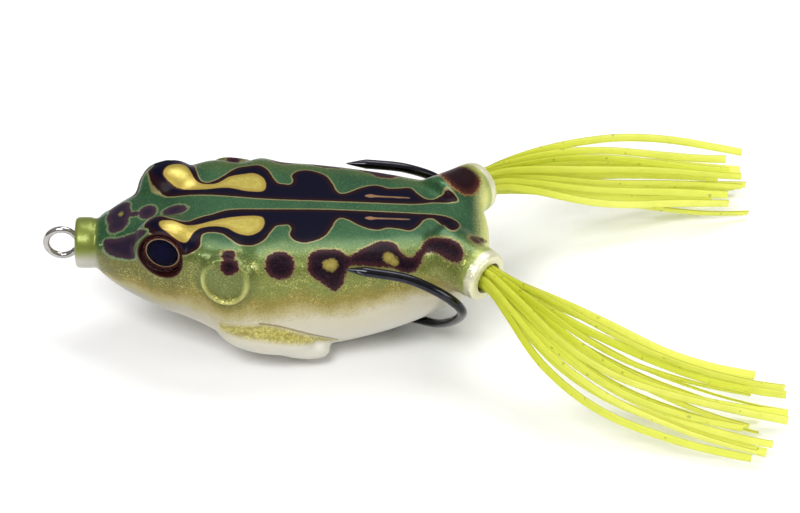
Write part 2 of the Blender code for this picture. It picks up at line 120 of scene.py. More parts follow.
# ---------------------------------------------------------------- painted outlines
# Each point is a place along the body and a distance round it from the middle of the back, in mm.
# The two sides share most of the dark bands beside the backbone, and differ round the eye and at the tail.
BAND_INNER_EDGE = ((-8.7, 1.7), (-3.3, 1.3), (4.0, 1.1), (12.3, 1.1), (18.8, 1.2))
BAND_OUTER_EDGE = (
    (18.3, 5.5), (16.5, 5.2), (14.9, 5.1), (13.5, 5.7), (12.0, 5.5), (10.4, 4.6), (9.0, 3.5), (7.8, 3.1),
    (7.0, 4.0), (6.4, 5.9), (5.2, 8.1), (2.8, 9.4), (1.1, 9.0), (0.3, 7.7), (0.5, 6.2), (0.0, 5.2),
    (-1.0, 5.3), (-1.9, 5.6), (-2.7, 7.2), (-3.6, 9.1), (-5.2, 10.3), (-7.3, 10.2), (-8.7, 8.9),
)
BAND_TAIL = {
    "left": (
        (22.2, 1.3), (24.3, 1.9), (25.7, 3.4), (25.3, 5.0), (24.1, 5.2), (22.9, 3.6), (21.7, 2.3),
        (20.4, 2.7), (19.5, 4.3),
    ),
    "right": (
        (21.7, 1.8), (23.9, 1.9), (25.3, 2.3), (25.4, 2.9), (24.4, 3.3), (23.0, 3.4), (21.8, 2.6),
        (20.6, 2.7), (19.4, 4.0),
    ),
}
BAND_FRONT = {
    "left": (
        (-9.9, 7.9), (-11.6, 7.8), (-12.9, 8.6), (-13.1, 11.0), (-14.3, 11.9), (-15.7, 11.8), (-17.0, 10.0),
        (-19.5, 7.2), (-21.3, 5.5), (-21.4, 4.6), (-20.5, 3.9), (-19.2, 4.0), (-17.5, 5.0), (-15.4, 5.7),
        (-13.7, 4.4), (-11.6, 3.3),
    ),
    "right": (
        (-9.9, 7.2), (-11.1, 5.8), (-12.5, 4.9), (-13.6, 5.4), (-14.3, 7.3), (-14.9, 9.5), (-17.0, 10.2),
        (-19.6, 8.8), (-21.3, 6.6), (-21.6, 5.2), (-21.0, 3.7), (-19.5, 2.9), (-17.8, 2.1), (-13.4, 1.7),
    ),
}
YELLOW_REAR = ((-9.3, 3.9), (-6.4, 3.2), (-4.1, 3.3), (-3.6, 5.0), (-4.2, 6.9), (-5.7, 8.0), (-7.4, 7.7))
YELLOW_FRONT = {
    "left": (
        (-9.2, 6.4), (-10.8, 6.2), (-12.5, 6.6), (-13.7, 7.4), (-14.3, 8.4), (-15.1, 9.9), (-16.3, 9.2),
        (-17.8, 7.4), (-19.0, 6.0), (-19.1, 5.1), (-17.3, 5.4), (-15.4, 6.4), (-14.0, 6.2), (-11.9, 5.2),
    ),
    "right": (
        (-9.2, 6.8), (-11.1, 4.8), (-13.0, 4.5), (-14.2, 5.1), (-15.0, 5.9), (-16.0, 6.7), (-17.5, 5.9),
        (-18.6, 5.1), (-19.2, 4.2), (-18.8, 3.7), (-17.8, 3.4), (-16.6, 3.3), (-14.5, 3.1), (-12.6, 3.2),
    ),
}
TAIL_SLIT = ((11.4, 2.8), (12.3, 2.4), (13.3, 2.6), (17.9, 2.6), (17.9, 2.9), (13.6, 3.0), (12.3, 3.3))
FLANK_CHAIN = (
    (3.0, 13.4), (3.4, 11.6), (5.2, 10.7), (7.6, 10.7), (9.1, 11.5), (10.2, 10.8), (12.3, 9.3), (13.8, 8.3),
    (15.7, 8.4), (16.7, 9.7), (17.5, 10.5), (18.8, 10.3), (19.9, 9.0), (20.7, 7.4), (22.5, 6.7),
    (24.9, 6.9), (26.1, 7.8), (26.1, 8.9), (25.1, 9.7), (23.6, 9.6), (22.0, 9.3), (20.4, 9.9), (19.9, 11.2),
    (19.1, 12.7), (17.5, 13.3), (15.4, 12.7), (13.3, 12.8), (11.2, 12.9), (9.4, 13.1), (8.7, 14.6),
    (8.1, 16.5), (7.0, 17.7), (5.7, 16.7), (4.4, 15.8), (3.2, 14.7),
)
SNOUT_STRIPE = (
    (-28.0, 4.9), (-27.7, 3.9), (-25.6, 4.9), (-23.3, 4.9), (-22.1, 5.2), (-21.0, 5.9), (-22.1, 6.4),
    (-23.1, 7.1), (-23.1, 9.0), (-25.0, 8.4), (-27.1, 6.7),
)
# Oval spots: place along, distance round (below 0 on the frog's left), half length, half width
FLANK_SPOTS = ((-1.1, 13.7, 2.25, 2.3), (-8.6, 14.5, 1.45, 1.45), (-8.8, 12.6, 1.1, 1.0))
LEFT_TAIL_SPOT = (28.4, -6.1, 1.1, 0.7)
HEAD_SPOTS = (
    (-25.8, 2.3, 1.7, 1.7), (-25.8, -1.9, 1.6, 1.8), (-25.8, 0.2, 1.9, 2.4), (-23.4, -0.4, 0.9, 0.6),
    (-21.4, -0.5, 1.4, 1.7), (-17.2, -1.5, 1.9, 1.3),
)
SPOT_CENTRES = (
    (6.6, 13.2, 0.9, 0.9), (6.0, 13.3, 0.8, 0.8), (15.1, 11.2, 0.85, 0.85), (15.8, 11.6, 0.7, 0.7),
)
SNOUT_CENTRE = (-25.5, 0.4, 0.3, 0.45)
RIGHT_HIP_SPOT, RIGHT_HIP_SPOT_RADII = (26.0, 7.9, 21.3), (3.1, 3.5, 2.6)
# Where the flank's green has faded half way to the cream belly: place along, distance round
FADE = (
    (-31.0, 9.5), (-27.5, 10.5), (-24.4, 12.8), (-21.3, 15.6), (-17.5, 18.2), (-13.7, 20.4), (-9.9, 22.2),
    (-6.1, 21.9), (-2.3, 20.9), (1.5, 20.2), (5.3, 20.4), (9.1, 19.7), (13.0, 18.5), (16.8, 16.9),
    (19.8, 15.2), (22.9, 14.5), (27.0, 13.5), (34.0, 13.0),
)
# The foreleg's ridge and the width of the gold below it: place along, height, width
ARM_RIDGE = (
    (-11.0, 10.2, 1.6), (-8.0, 10.5, 3.0), (-4.0, 10.4, 3.4), (-1.2, 9.4, 3.0), (2.1, 7.8, 2.2),
    (6.2, 5.4, 1.3), (8.0, 4.0, 0.6),
)
EAR, EAR_RADIUS = (-9.4, 14.4, 18.1), 3.45


# ---------------------------------------------------------------- fineness and relief of the skin, in mm
CURVE_STEPS, OUTLINE_STEPS = 40, 5
ELLIPSOID_SIDES, ELLIPSOID_ROWS = 64, 40
SKIN_SIDES, SKIN_RINGS, SECTION_POINTS, TAIL_CROWDING = 144, 130, 720, 0.92
SKIN_VOXEL, EVENING_ROUNDS, SOFTENING_ROUNDS = 0.28, 7, 34
# Height and width of each moulded feature
EAR_RING, EAR_DISH, EAR_GROOVE, EAR_GROOVE_OUT = (0.55, 0.45), (0.22, 2.7), (0.16, 0.5), 0.9
LID_RING, LID_RING_RADIUS, PAINTED_LID_RADIUS = (0.22, 0.32), 3.72, 3.68
NOSTRIL_RIM, NOSTRIL_PIT, NOSTRIL_RIM_RADIUS, NOSTRIL = (0.14, 0.3), (0.4, 0.42), 0.75, (-28.3, 4.3)
SHOULDER_HEIGHT, SEAM, FLANK_WAVE = 0.3, (0.08, 0.15), 0.12
FAR_AWAY, MOST_STORED, RIM_WIDTH, OFF_SURFACE = 9.0, 60, 1.5, 0.04
SHARP_SKIN_ANGLE = 38


# ---------------------------------------------------------------- shapes
def cubic(points, t):
    """The smooth curve through points at t, which runs from 0 to the last point's index."""
    last = len(points) - 1
    i = min(int(t), last - 1)
    f = t - i
    p = [Vector(points[min(max(k, 0), last)]) for k in (i - 1, i, i + 1, i + 2)]
    if i == 0:
        p[0] = 2 * p[1] - p[2]
    if i == last - 1:
        p[3] = 2 * p[2] - p[1]
    near = p[1] * 2 + (p[2] - p[0]) * f
    bent = (2 * p[0] - 5 * p[1] + 4 * p[2] - p[3]) * f * f
    far = (3 * p[1] - p[0] - 3 * p[2] + p[3]) * f * f * f
    return (near + bent + far) / 2


def even_route(points, step):
    """Evenly spaced points, about a step apart, on the smooth curve through the given ones."""
    dense = [cubic(points, k / CURVE_STEPS) for k in range(CURVE_STEPS * (len(points) - 1) + 1)]
    along = [0.0]
    for a, b in zip(dense, dense[1:]):
        along.append(along[-1] + (b - a).length)
    count = max(2, round(along[-1] / step))
    route, k = [], 0
    for n in range(count + 1):
        goal = along[-1] * n / count
        while k < len(along) - 2 and along[k + 1] < goal:
            k += 1
        share = (goal - along[k]) / (along[k + 1] - along[k])
        route.append(dense[k].lerp(dense[k + 1], min(max(share, 0.0), 1.0)))
    return route


def turning_frames(route, side):
    """Each point with two cross directions, carried along the route without twist."""
    frames = []
    for k, here in enumerate(route):
        tangent = (route[min(k + 1, len(route) - 1)] - route[max(k - 1, 0)]).normalized()
        side = (side - tangent * side.dot(tangent)).normalized()
        frames.append((here, side, tangent.cross(side)))
    return frames


def angles_round(count, shift=0.0):
    """Even angles round a full turn, moved on by a share of one step."""
    return [2 * math.pi * (i + shift) / count for i in range(count)]


def loft(rings):
    """A closed surface through rings of the same number of points, capped at both ends."""
    count = len(rings[0])
    points = [p for ring in rings for p in ring]
    faces = [tuple(range(count)), tuple(range(len(points) - count, len(points)))]
    for r in range(len(rings) - 1):
        for i in range(count):
            j = (i + 1) % count
            faces.append((r * count + i, r * count + j, (r + 1) * count + j, (r + 1) * count + i))
    return points, faces


def turned_body(profile, start, axis, sides):
    """A closed body turned about an axis. The profile gives distance along it and radius."""
    axis = Vector(axis).normalized()
    across = axis.orthogonal().normalized()
    up = axis.cross(across)
    rings = []
    for distance, radius in profile:
        centre = Vector(start) + axis * distance
        turns = angles_round(sides)
        rings.append([centre + (across * math.cos(a) + up * math.sin(a)) * radius for a in turns])
    return loft(rings)


def ellipsoid(centre, radii, tilt=0.0):
    rings = []
    for r in range(ELLIPSOID_ROWS + 1):
        polar = math.pi * (r + 0.25) / (ELLIPSOID_ROWS + 0.5)
        ring = []
        for a in angles_round(ELLIPSOID_SIDES):
            x = -radii[0] * math.cos(polar)
            y = radii[1] * math.sin(polar) * math.cos(a)
            z = radii[2] * math.sin(polar) * math.sin(a)
            turned = (x * math.cos(tilt) + z * math.sin(tilt), y, z * math.cos(tilt) - x * math.sin(tilt))
            ring.append(Vector(centre) + Vector(turned))
        rings.append(ring)
    return loft(rings)


def block(low, high):
    corners = [(x, y, z) for x in (low[0], high[0]) for y in (low[1], high[1]) for z in (low[2], high[2])]
    return corners, [(0, 1, 3, 2), (4, 6, 7, 5), (0, 4, 5, 1), (2, 3, 7, 6), (0, 2, 6, 4), (1, 5, 7, 3)]


def new_object(name, data):
    obj = bpy.data.objects.new(name, data)
    bpy.context.scene.collection.objects.link(obj)
    return obj


def add_mesh(name, points, faces, sharp=None):
    """An object from points in millimetres, with its faces turned outwards."""
    mesh = bpy.data.meshes.new(name)
    mesh.from_pydata([Vector(p) * MM for p in points], [], faces)
    turned = bmesh.new()
    turned.from_mesh(mesh)
    bmesh.ops.recalc_face_normals(turned, faces=turned.faces)
    turned.to_mesh(mesh)
    turned.free()
    mesh.shade_smooth()
    if sharp is not None:
        mesh.set_sharp_from_angle(angle=math.radians(sharp))
    return new_object(name, mesh)


def evaluated_copy(obj):
    graph = bpy.context.evaluated_depsgraph_get()
    return bpy.data.meshes.new_from_object(obj.evaluated_get(graph), depsgraph=graph).copy()


def discard(obj):
    bpy.data.objects.remove(obj, do_unlink=True)


def add_boolean(obj, operation, tool):
    change = obj.modifiers.new(tool.name, "BOOLEAN")
    change.operation = operation
    change.solver = "MANIFOLD"
    change.object = tool


def read_field(items, field, width, kind=np.float32):
    """A field of every item of a mesh, one row for each."""
    values = np.empty(len(items) * width, kind)
    items.foreach_get(field, values)
    return values.reshape(-1, width)


def mesh_points(mesh):
    return read_field(mesh.vertices, "co", 3).astype(float) * PER_METRE


def set_points(mesh, points):
    mesh.vertices.foreach_set("co", (points * MM).astype(np.float32).ravel())
    mesh.update()


def put_attribute(mesh, name, values):
    attribute = mesh.attributes.new(name, "FLOAT", "POINT")
    attribute.data.foreach_set("value", values.astype(np.float32))


def mirrored(point, side):
    return (point[0], side * point[1], point[2])


def eye_axis(side):
    flat = math.cos(EYE_DOWNWARD_TURN)
    forward, outward = math.sin(EYE_FORWARD_TURN), math.cos(EYE_FORWARD_TURN)
    return Vector((-flat * forward, side * flat * outward, -math.sin(EYE_DOWNWARD_TURN)))


def eye_floor(side):
    return Vector(mirrored(EYE, side)) - eye_axis(side) * EYE_SINK


def stub_axis(leg):
    return Vector((math.cos(leg["turn"]), leg["side"] * math.sin(leg["turn"]), -STUB_DROP)).normalized()


def from_axis(points, start, axis):
    """How far each point lies along an axis from its start, and how far beside it."""
    axis = np.array(axis)
    run = points - np.array(start)
    ahead = run @ axis
    return ahead, np.linalg.norm(run - ahead[:, None] * axis, axis=1)


def distance_to(points, centre):
    return np.linalg.norm(points - np.array(centre), axis=1)


def ramp(values, start, span):
    """0 at start and 1 a span further on. A negative span runs the other way."""
    return np.clip((values - start) / span, 0, 1)


def hump(values, middle, width, power=2):
    return np.exp(-(((values - middle) / width) ** power))


def station_at(x):
    """Half width, top, bottom and squareness of the body at x."""
    xs = [s[0] for s in STATIONS]
    i = max(k for k in range(len(xs) - 1) if xs[k] <= max(x, xs[0]))
    f = (min(max(x, xs[0]), xs[-1]) - xs[i]) / (xs[i + 1] - xs[i])
    values = []
    for column in range(1, 5):
        v0, v1 = STATIONS[i][column], STATIONS[i + 1][column]
        rise, span = v1 - v0, xs[i + 1] - xs[i]
        slope0 = rise if i == 0 else (v1 - STATIONS[i - 1][column]) / (xs[i + 1] - xs[i - 1]) * span
        last = i + 2 >= len(xs)
        slope1 = rise if last else (STATIONS[i + 2][column] - v0) / (xs[i + 2] - xs[i]) * span
        curve = (2 * f**3 - 3 * f**2 + 1) * v0 + (f**3 - 2 * f**2 + f) * slope0
        values.append(curve + (3 * f**2 - 2 * f**3) * v1 + (f**3 - f**2) * slope1)
    return values


def body_ring(x, inset, count, tail_x, closing=True):
    """The body's section at x, set in by inset. It closes in towards the tail unless closing is off."""
    width, top, bottom, square = station_at(x)
    close = 1.0
    if closing and x > TAIL_ROUND_X:
        reach = min((x - TAIL_ROUND_X) / (tail_x - TAIL_ROUND_X), 1.0)
        close = (1 - reach**TAIL_ROUND_POWER) ** (1 / TAIL_ROUND_POWER)
    ring = []
    for a in angles_round(count, 0.5):
        c, s = math.cos(a), math.sin(a)
        power = square if s > 0 else BELLY_POWER
        height = (top - MIDDLE_Z) if s > 0 else (MIDDLE_Z - bottom)
        reach = (abs(c) ** power + abs(s) ** power) ** (-1 / power)
        ring.append((x, (width - inset) * close * c * reach, MIDDLE_Z + (height - inset) * close * s * reach))
    return ring


def ring_places(first, last, count):
    """Places along the body that crowd towards the rounded tail."""
    shares = [(k / (count - 1)) ** TAIL_CROWDING for k in range(count)]
    return [first + (last - first) * math.sin(math.pi / 2 * share) for share in shares]


def circle_ring(x, radius, count):
    return [(x, radius * math.cos(a), NOSE_Z + radius * math.sin(a)) for a in angles_round(count, 0.5)]


# ---------------------------------------------------------------- body skin
def outer_solid():
    """The body, eye bumps, forelegs, hips and stubs as overlapping closed shells in one mesh."""
    collar = (
        (NOSE_X, COLLAR_RADIUS - 0.25), (NOSE_X + 0.12, COLLAR_RADIUS - 0.08), (NOSE_X + 0.35, COLLAR_RADIUS),
        (COLLAR_BACK_X, COLLAR_RADIUS), (COLLAR_BACK_X + 0.25, NECK_RADIUS),
    )
    rings = [circle_ring(x, radius, SKIN_SIDES) for x, radius in collar]
    places = ring_places(STATIONS[0][0], TAIL_X - 0.05, SKIN_RINGS)
    rings += [body_ring(x, 0.0, SKIN_SIDES, TAIL_X) for x in places]
    shells = [loft(rings)]
    for leg in LEGS.values():
        side = leg["side"]
        eye = Vector(mirrored(EYE, side))
        shells.append(ellipsoid(eye - eye_axis(side) * EYE_BUMP_INSET, EYE_BUMP_RADII))
        shells.append(ellipsoid(mirrored(ARM_CENTRE, side), ARM_RADII, tilt=ARM_TILT))
        shells.append(ellipsoid(mirrored(HAND_CENTRE, side), HAND_RADII, tilt=HAND_TILT))
        shells.append(ellipsoid(mirrored(HIP_CENTRE, side), HIP_RADII))
        shells.append(turned_body(STUB_OUTSIDE, leg["mouth"], -stub_axis(leg), 72))
    points, faces = [], []
    for shell_points, shell_faces in shells:
        start = len(points)
        points += shell_points
        faces += [tuple(start + i for i in face) for face in shell_faces]
    return points, faces


def relax(points, edges, steps, weights):
    """Evens the surface: each point moves part of the way, by its weight, to the middle of its neighbours."""
    a, b = edges[:, 0], edges[:, 1]
    share = np.bincount(a, minlength=len(points)) + np.bincount(b, minlength=len(points))
    for _ in range(steps):
        total = np.zeros_like(points)
        for k in range(3):
            total[:, k] = np.bincount(a, points[b, k], len(points))
            total[:, k] += np.bincount(b, points[a, k], len(points))
        points = points + (0.5 * weights)[:, None] * (total / share[:, None] - points)
    return points


def softness(points):
    """How far each point may be evened. The collar and stub rims stay crisp, and the forelegs nearly so."""
    soft = ramp(points[:, 0] - COLLAR_BACK_X, 0.6, 2.0)
    for leg in LEGS.values():
        ahead, aside = from_axis(points, leg["mouth"], stub_axis(leg))
        soft = np.where(aside < 6.5, np.minimum(soft, ramp(-ahead, 1.6, 2.5)), soft)
    low = ramp(points[:, 2], 10.5, -2.0) * ramp(np.abs(points[:, 0] + 1.5), 9.0, -2.0)
    return soft * (1 - 0.75 * low)


def half_section(x):
    """Half of the body's section at x, from the middle of the back down, and the distance round it."""
    ring = np.array(body_ring(float(x), 0.0, SECTION_POINTS, TAIL_X, closing=False))
    half = np.roll(ring, -(SECTION_POINTS // 4), axis=0)[: SECTION_POINTS // 2 + 1]
    steps = np.hypot(*np.diff(half[:, 1:], axis=0).T)
    return half, np.concatenate([[0.0], np.cumsum(steps)])


def girth_table():
    """Distance round the body from the middle of the back, by place along it and angle from straight up."""
    places = np.linspace(STATIONS[0][0], STATIONS[-1][0], 120)
    angles = np.linspace(0, math.pi, 181)
    rows = []
    for x in places:
        half, along = half_section(x)
        turned = np.arctan2(np.abs(half[:, 1]), half[:, 2] - MIDDLE_Z)
        rows.append(np.interp(angles, np.maximum.accumulate(turned), along))
    return places, angles, np.array(rows)


GIRTHS = girth_table()


def girth_of(points):
    places, angles, rows = GIRTHS
    turned = np.arctan2(np.abs(points[:, 1]), points[:, 2] - MIDDLE_Z)
    i = np.clip((points[:, 0] - places[0]) / (places[1] - places[0]), 0, len(places) - 1.001)
    j = np.clip(turned / (angles[1] - angles[0]), 0, len(angles) - 1.001)
    i0, j0 = i.astype(int), j.astype(int)
    fi, fj = i - i0, j - j0
    low = rows[i0, j0] * (1 - fj) + rows[i0, j0 + 1] * fj
    high = rows[i0 + 1, j0] * (1 - fj) + rows[i0 + 1, j0 + 1] * fj
    return low * (1 - fi) + high * fi


def skin_point(place, side):
    """The point of the body's side at a place along it and a distance round it."""
    half, along = half_section(place[0])
    across = abs(np.interp(place[1], along, -half[:, 1]))
    return np.array([place[0], side * across, np.interp(place[1], along, half[:, 2])])


def rounded_outline(outline):
    """The closed outline drawn as a smooth curve through its points."""
    count = len(outline)
    p = np.array(outline, float)
    points = []
    for i in range(count):
        a, b, c, d = p[i - 1], p[i], p[(i + 1) % count], p[(i + 2) % count]
        for f in (k / OUTLINE_STEPS for k in range(OUTLINE_STEPS)):
            bent = (2 * a - 5 * b + 4 * c - d) * f**2
            points.append((2 * b + (c - a) * f + bent + (3 * b - a - 3 * c + d) * f**3) / 2)
    return np.array(points)


def outline_distance(flat, outline):
    """Signed distance of each flat point to a smooth closed outline, below 0 inside."""
    line = rounded_outline(outline)
    nearest = np.full(len(flat), np.inf)
    inside = np.zeros(len(flat), bool)
    for a, b in zip(line, np.roll(line, -1, axis=0)):
        run = b - a
        share = np.clip(((flat - a) @ run) / max(run @ run, 1e-12), 0, 1)
        nearest = np.minimum(nearest, np.hypot(*(flat - a - share[:, None] * run).T))
        crosses = (a[1] > flat[:, 1]) != (b[1] > flat[:, 1])
        if a[1] != b[1]:
            at = a[0] + (flat[:, 1] - a[1]) * run[0] / run[1]
            inside ^= crosses & (flat[:, 0] < at)
    return np.where(inside, -nearest, nearest)


def oval_distance(flat, *ovals):
    """About the distance of each flat point to the nearest oval, below 0 inside."""
    distances = []
    for x, g, rx, rg in ovals:
        distances.append((np.hypot((flat[:, 0] - x) / rx, (flat[:, 1] - g) / rg) - 1) * min(rx, rg))
    return np.min(distances, axis=0)


def sculpt(points, normals):
    """Moulded relief: eyelids, ear rings, nostrils, the shoulder and the mould's seam."""
    x, girth = points[:, 0], girth_of(points)
    rise = np.zeros(len(points))
    for side in (-1, 1):
        near = points[:, 1] * side > 0
        away = distance_to(points, mirrored(EAR, side))
        low = 0.45 + 0.55 * ramp(points[:, 2], EAR[2] + 1.8, -2.4)
        ring = EAR_RING[0] * low * hump(away, EAR_RADIUS, EAR_RING[1])
        ring = ring - EAR_DISH[0] * hump(away, 0, EAR_DISH[1], 6)
        groove = EAR_GROOVE[0] * hump(away - EAR_RADIUS, EAR_GROOVE_OUT, EAR_GROOVE[1])
        rise += np.where(near, ring - groove, 0)
        out, across = from_axis(points, mirrored(EYE, side), eye_axis(side))
        rise += near * ramp(out, -2.4, 1.6) * LID_RING[0] * hump(across, LID_RING_RADIUS, LID_RING[1])
        away = distance_to(points, skin_point(NOSTRIL, side))
        rim = NOSTRIL_RIM[0] * hump(away, NOSTRIL_RIM_RADIUS, NOSTRIL_RIM[1])
        rise += near * (rim - NOSTRIL_PIT[0] * hump(away, 0, NOSTRIL_PIT[1]))
    shoulder = np.exp(-(((x + 4.2) / 1.8) ** 2) - ((girth - 14.0) / 5.0) ** 2)
    hollow = np.exp(-(((x + 7.2) / 1.6) ** 2) - ((girth - 15.0) / 5.0) ** 2)
    rise += SHOULDER_HEIGHT * shoulder - SHOULDER_HEIGHT * hollow
    rise += SEAM[0] * hump(girth, girth.max(), SEAM[1])
    waves = np.sin(x * 0.9 + 1.3 * np.sin(girth * 0.35)) * np.sin(girth * 0.55 + x * 0.21)
    rise += FLANK_WAVE * waves * (ramp(girth, 12, 3) * ramp(girth, 22, -3) * ramp(x, -12, 6))
    return points + normals * rise[:, None]


def cutters():
    """The hollow, cup, bore, eye pockets, stub bores, belly slot and the flat under the belly."""
    tail = TAIL_X - WALL
    yield loft([body_ring(x, WALL, 48, tail) for x in ring_places(CAVITY_FRONT_X, tail - 0.2, 30)])
    nose, backwards = (NOSE_X, 0, NOSE_Z), (1, 0, 0)
    cup = ((-0.4, CUP_MOUTH_RADIUS + 0.05), (CUP_DEPTH, CUP_FLOOR_RADIUS))
    yield turned_body(cup, nose, backwards, 64)
    bore = ((CUP_DEPTH / 2, WIRE_BORE_RADIUS), (CAVITY_FRONT_X - NOSE_X + 1.0, WIRE_BORE_RADIUS))
    yield turned_body(bore, nose, backwards, 32)
    for leg in LEGS.values():
        pocket = ((0.0, POCKET_RADIUS), (4.0, POCKET_RADIUS))
        yield turned_body(pocket, eye_floor(leg["side"]), eye_axis(leg["side"]), 72)
        yield turned_body(STUB_BORE, leg["mouth"], -stub_axis(leg), 64)
    yield block(SLOT_LOW, SLOT_HIGH)
    yield block((-50.0, -40.0, -10.0), (50.0, 40.0, 0.0))


def make_skin():
    """The cut skin, and the outside surface that it was cut from."""
    rough = add_mesh("skin_rough", *outer_solid())
    remesh = rough.modifiers.new("even", "REMESH")
    remesh.mode = "VOXEL"
    remesh.voxel_size = SKIN_VOXEL * MM
    mesh = evaluated_copy(rough)
    discard(rough)
    points = mesh_points(mesh)
    edges = read_field(mesh.edges, "vertices", 2, np.int32)
    points = relax(points, edges, EVENING_ROUNDS, np.ones(len(points)))
    points = relax(points, edges, SOFTENING_ROUNDS, softness(points))
    set_points(mesh, points)
    normals = read_field(mesh.vertex_normals, "vector", 3).astype(float)
    set_points(mesh, sculpt(points, normals))
    skin = new_object("frog_skin", mesh)
    corners = [tuple(p.vertices) for p in mesh.polygons]
    outside = BVHTree.FromPolygons([v.co.copy() for v in mesh.vertices], corners)
    tools = [add_mesh(f"skin_cutter_{n}", *tool) for n, tool in enumerate(cutters())]
    for tool in tools:
        add_boolean(skin, "DIFFERENCE", tool)
    final = evaluated_copy(skin)
    skin.modifiers.clear()
    skin.data = final
    for tool in tools:
        discard(tool)
    final.materials.clear()
    return skin, outside


def paint_skin(skin, outside):
    """Stores signed distances in mm to each painted shape on the skin's points, for the shader to colour.

    Faces away from the outside surface, other than in the eye pockets, take the second material.
    """
    mesh = skin.data
    points = mesh_points(mesh)
    x, y, girth = points[:, 0], points[:, 1], girth_of(points)
    flat = np.column_stack([x, girth])
    signed = np.column_stack([x, girth * np.sign(y)])
    bands, yellows = [], []
    for name in LEGS:
        band = BAND_INNER_EDGE + BAND_TAIL[name] + BAND_OUTER_EDGE + BAND_FRONT[name]
        bands.append(outline_distance(flat, band))
        yellows.append(outline_distance(flat, YELLOW_REAR + YELLOW_FRONT[name]))
    spots = np.minimum(outline_distance(flat, FLANK_CHAIN), oval_distance(flat, *FLANK_SPOTS))
    hip = np.linalg.norm((points - np.array(RIGHT_HIP_SPOT)) / np.array(RIGHT_HIP_SPOT_RADII), axis=1)
    ridge_x, ridge_z, gold_width = np.array(ARM_RIDGE).T
    below_ridge = np.interp(x, ridge_x, ridge_z) - points[:, 2]
    gold_width = np.interp(x, ridge_x, gold_width)
    lid = ridge = ear = np.full(len(points), FAR_AWAY)
    rim = gilt = -lid
    pocket = np.zeros(len(points), bool)
    for leg in LEGS.values():
        side = leg["side"]
        near = y * side > 0
        out, across = from_axis(points, mirrored(EYE, side), eye_axis(side))
        lid = np.where(near & (out > -2.2), np.minimum(lid, across - PAINTED_LID_RADIUS), lid)
        pocket |= near & (out > -1.2) & (across < POCKET_RADIUS + 0.1)
        ahead, aside = from_axis(points, leg["mouth"], stub_axis(leg))
        rim = np.where(near & (aside < 5.6), np.maximum(rim, ahead + RIM_WIDTH), rim)
        on_arm = near & (y * side > 10.0) & (below_ridge > -1.2) & (x > -10.5) & (x < 7.6)
        gilt = np.where(on_arm, gold_width / 2 - np.abs(below_ridge - gold_width / 2), gilt)
        ridge = np.where(on_arm & (x > -4.5), np.abs(below_ridge), ridge)
        ear = np.where(near, distance_to(points, mirrored(EAR, side)) - EAR_RADIUS, ear)
    faded_at = np.interp(x, *np.array(FADE).T)
    values = {
        "band": np.where(y < 0, *bands),
        "yellow": np.where(y < 0, *yellows),
        "spots": np.minimum(spots, oval_distance(signed, LEFT_TAIL_SPOT)),
        "head_spots": np.minimum(oval_distance(signed, *HEAD_SPOTS), outline_distance(flat, SNOUT_STRIPE)),
        "slit": outline_distance(flat, TAIL_SLIT),
        "centres": np.minimum(oval_distance(flat, *SPOT_CENTRES), oval_distance(signed, SNOUT_CENTRE)),
        "hip_spot": (hip - 1) * min(RIGHT_HIP_SPOT_RADII),
        "lid": lid,
        "rim": rim,
        "gilt": gilt,
        "ridge": ridge,
        "ear": ear,
        "fade": (girth - faded_at) * 20 / faded_at,
    }
    for name, distances in values.items():
        put_attribute(mesh, name, np.minimum(distances, MOST_STORED))
    inner = np.zeros(len(mesh.polygons), np.int32)
    for polygon in mesh.polygons:
        away = outside.find_nearest(polygon.center)[3]
        if away > OFF_SURFACE * MM and not pocket[polygon.vertices[0]]:
            inner[polygon.index] = 1
    mesh.polygons.foreach_set("material_index", inner)
    mesh.shade_smooth()
    mesh.set_sharp_from_angle(angle=math.radians(SHARP_SKIN_ANGLE))


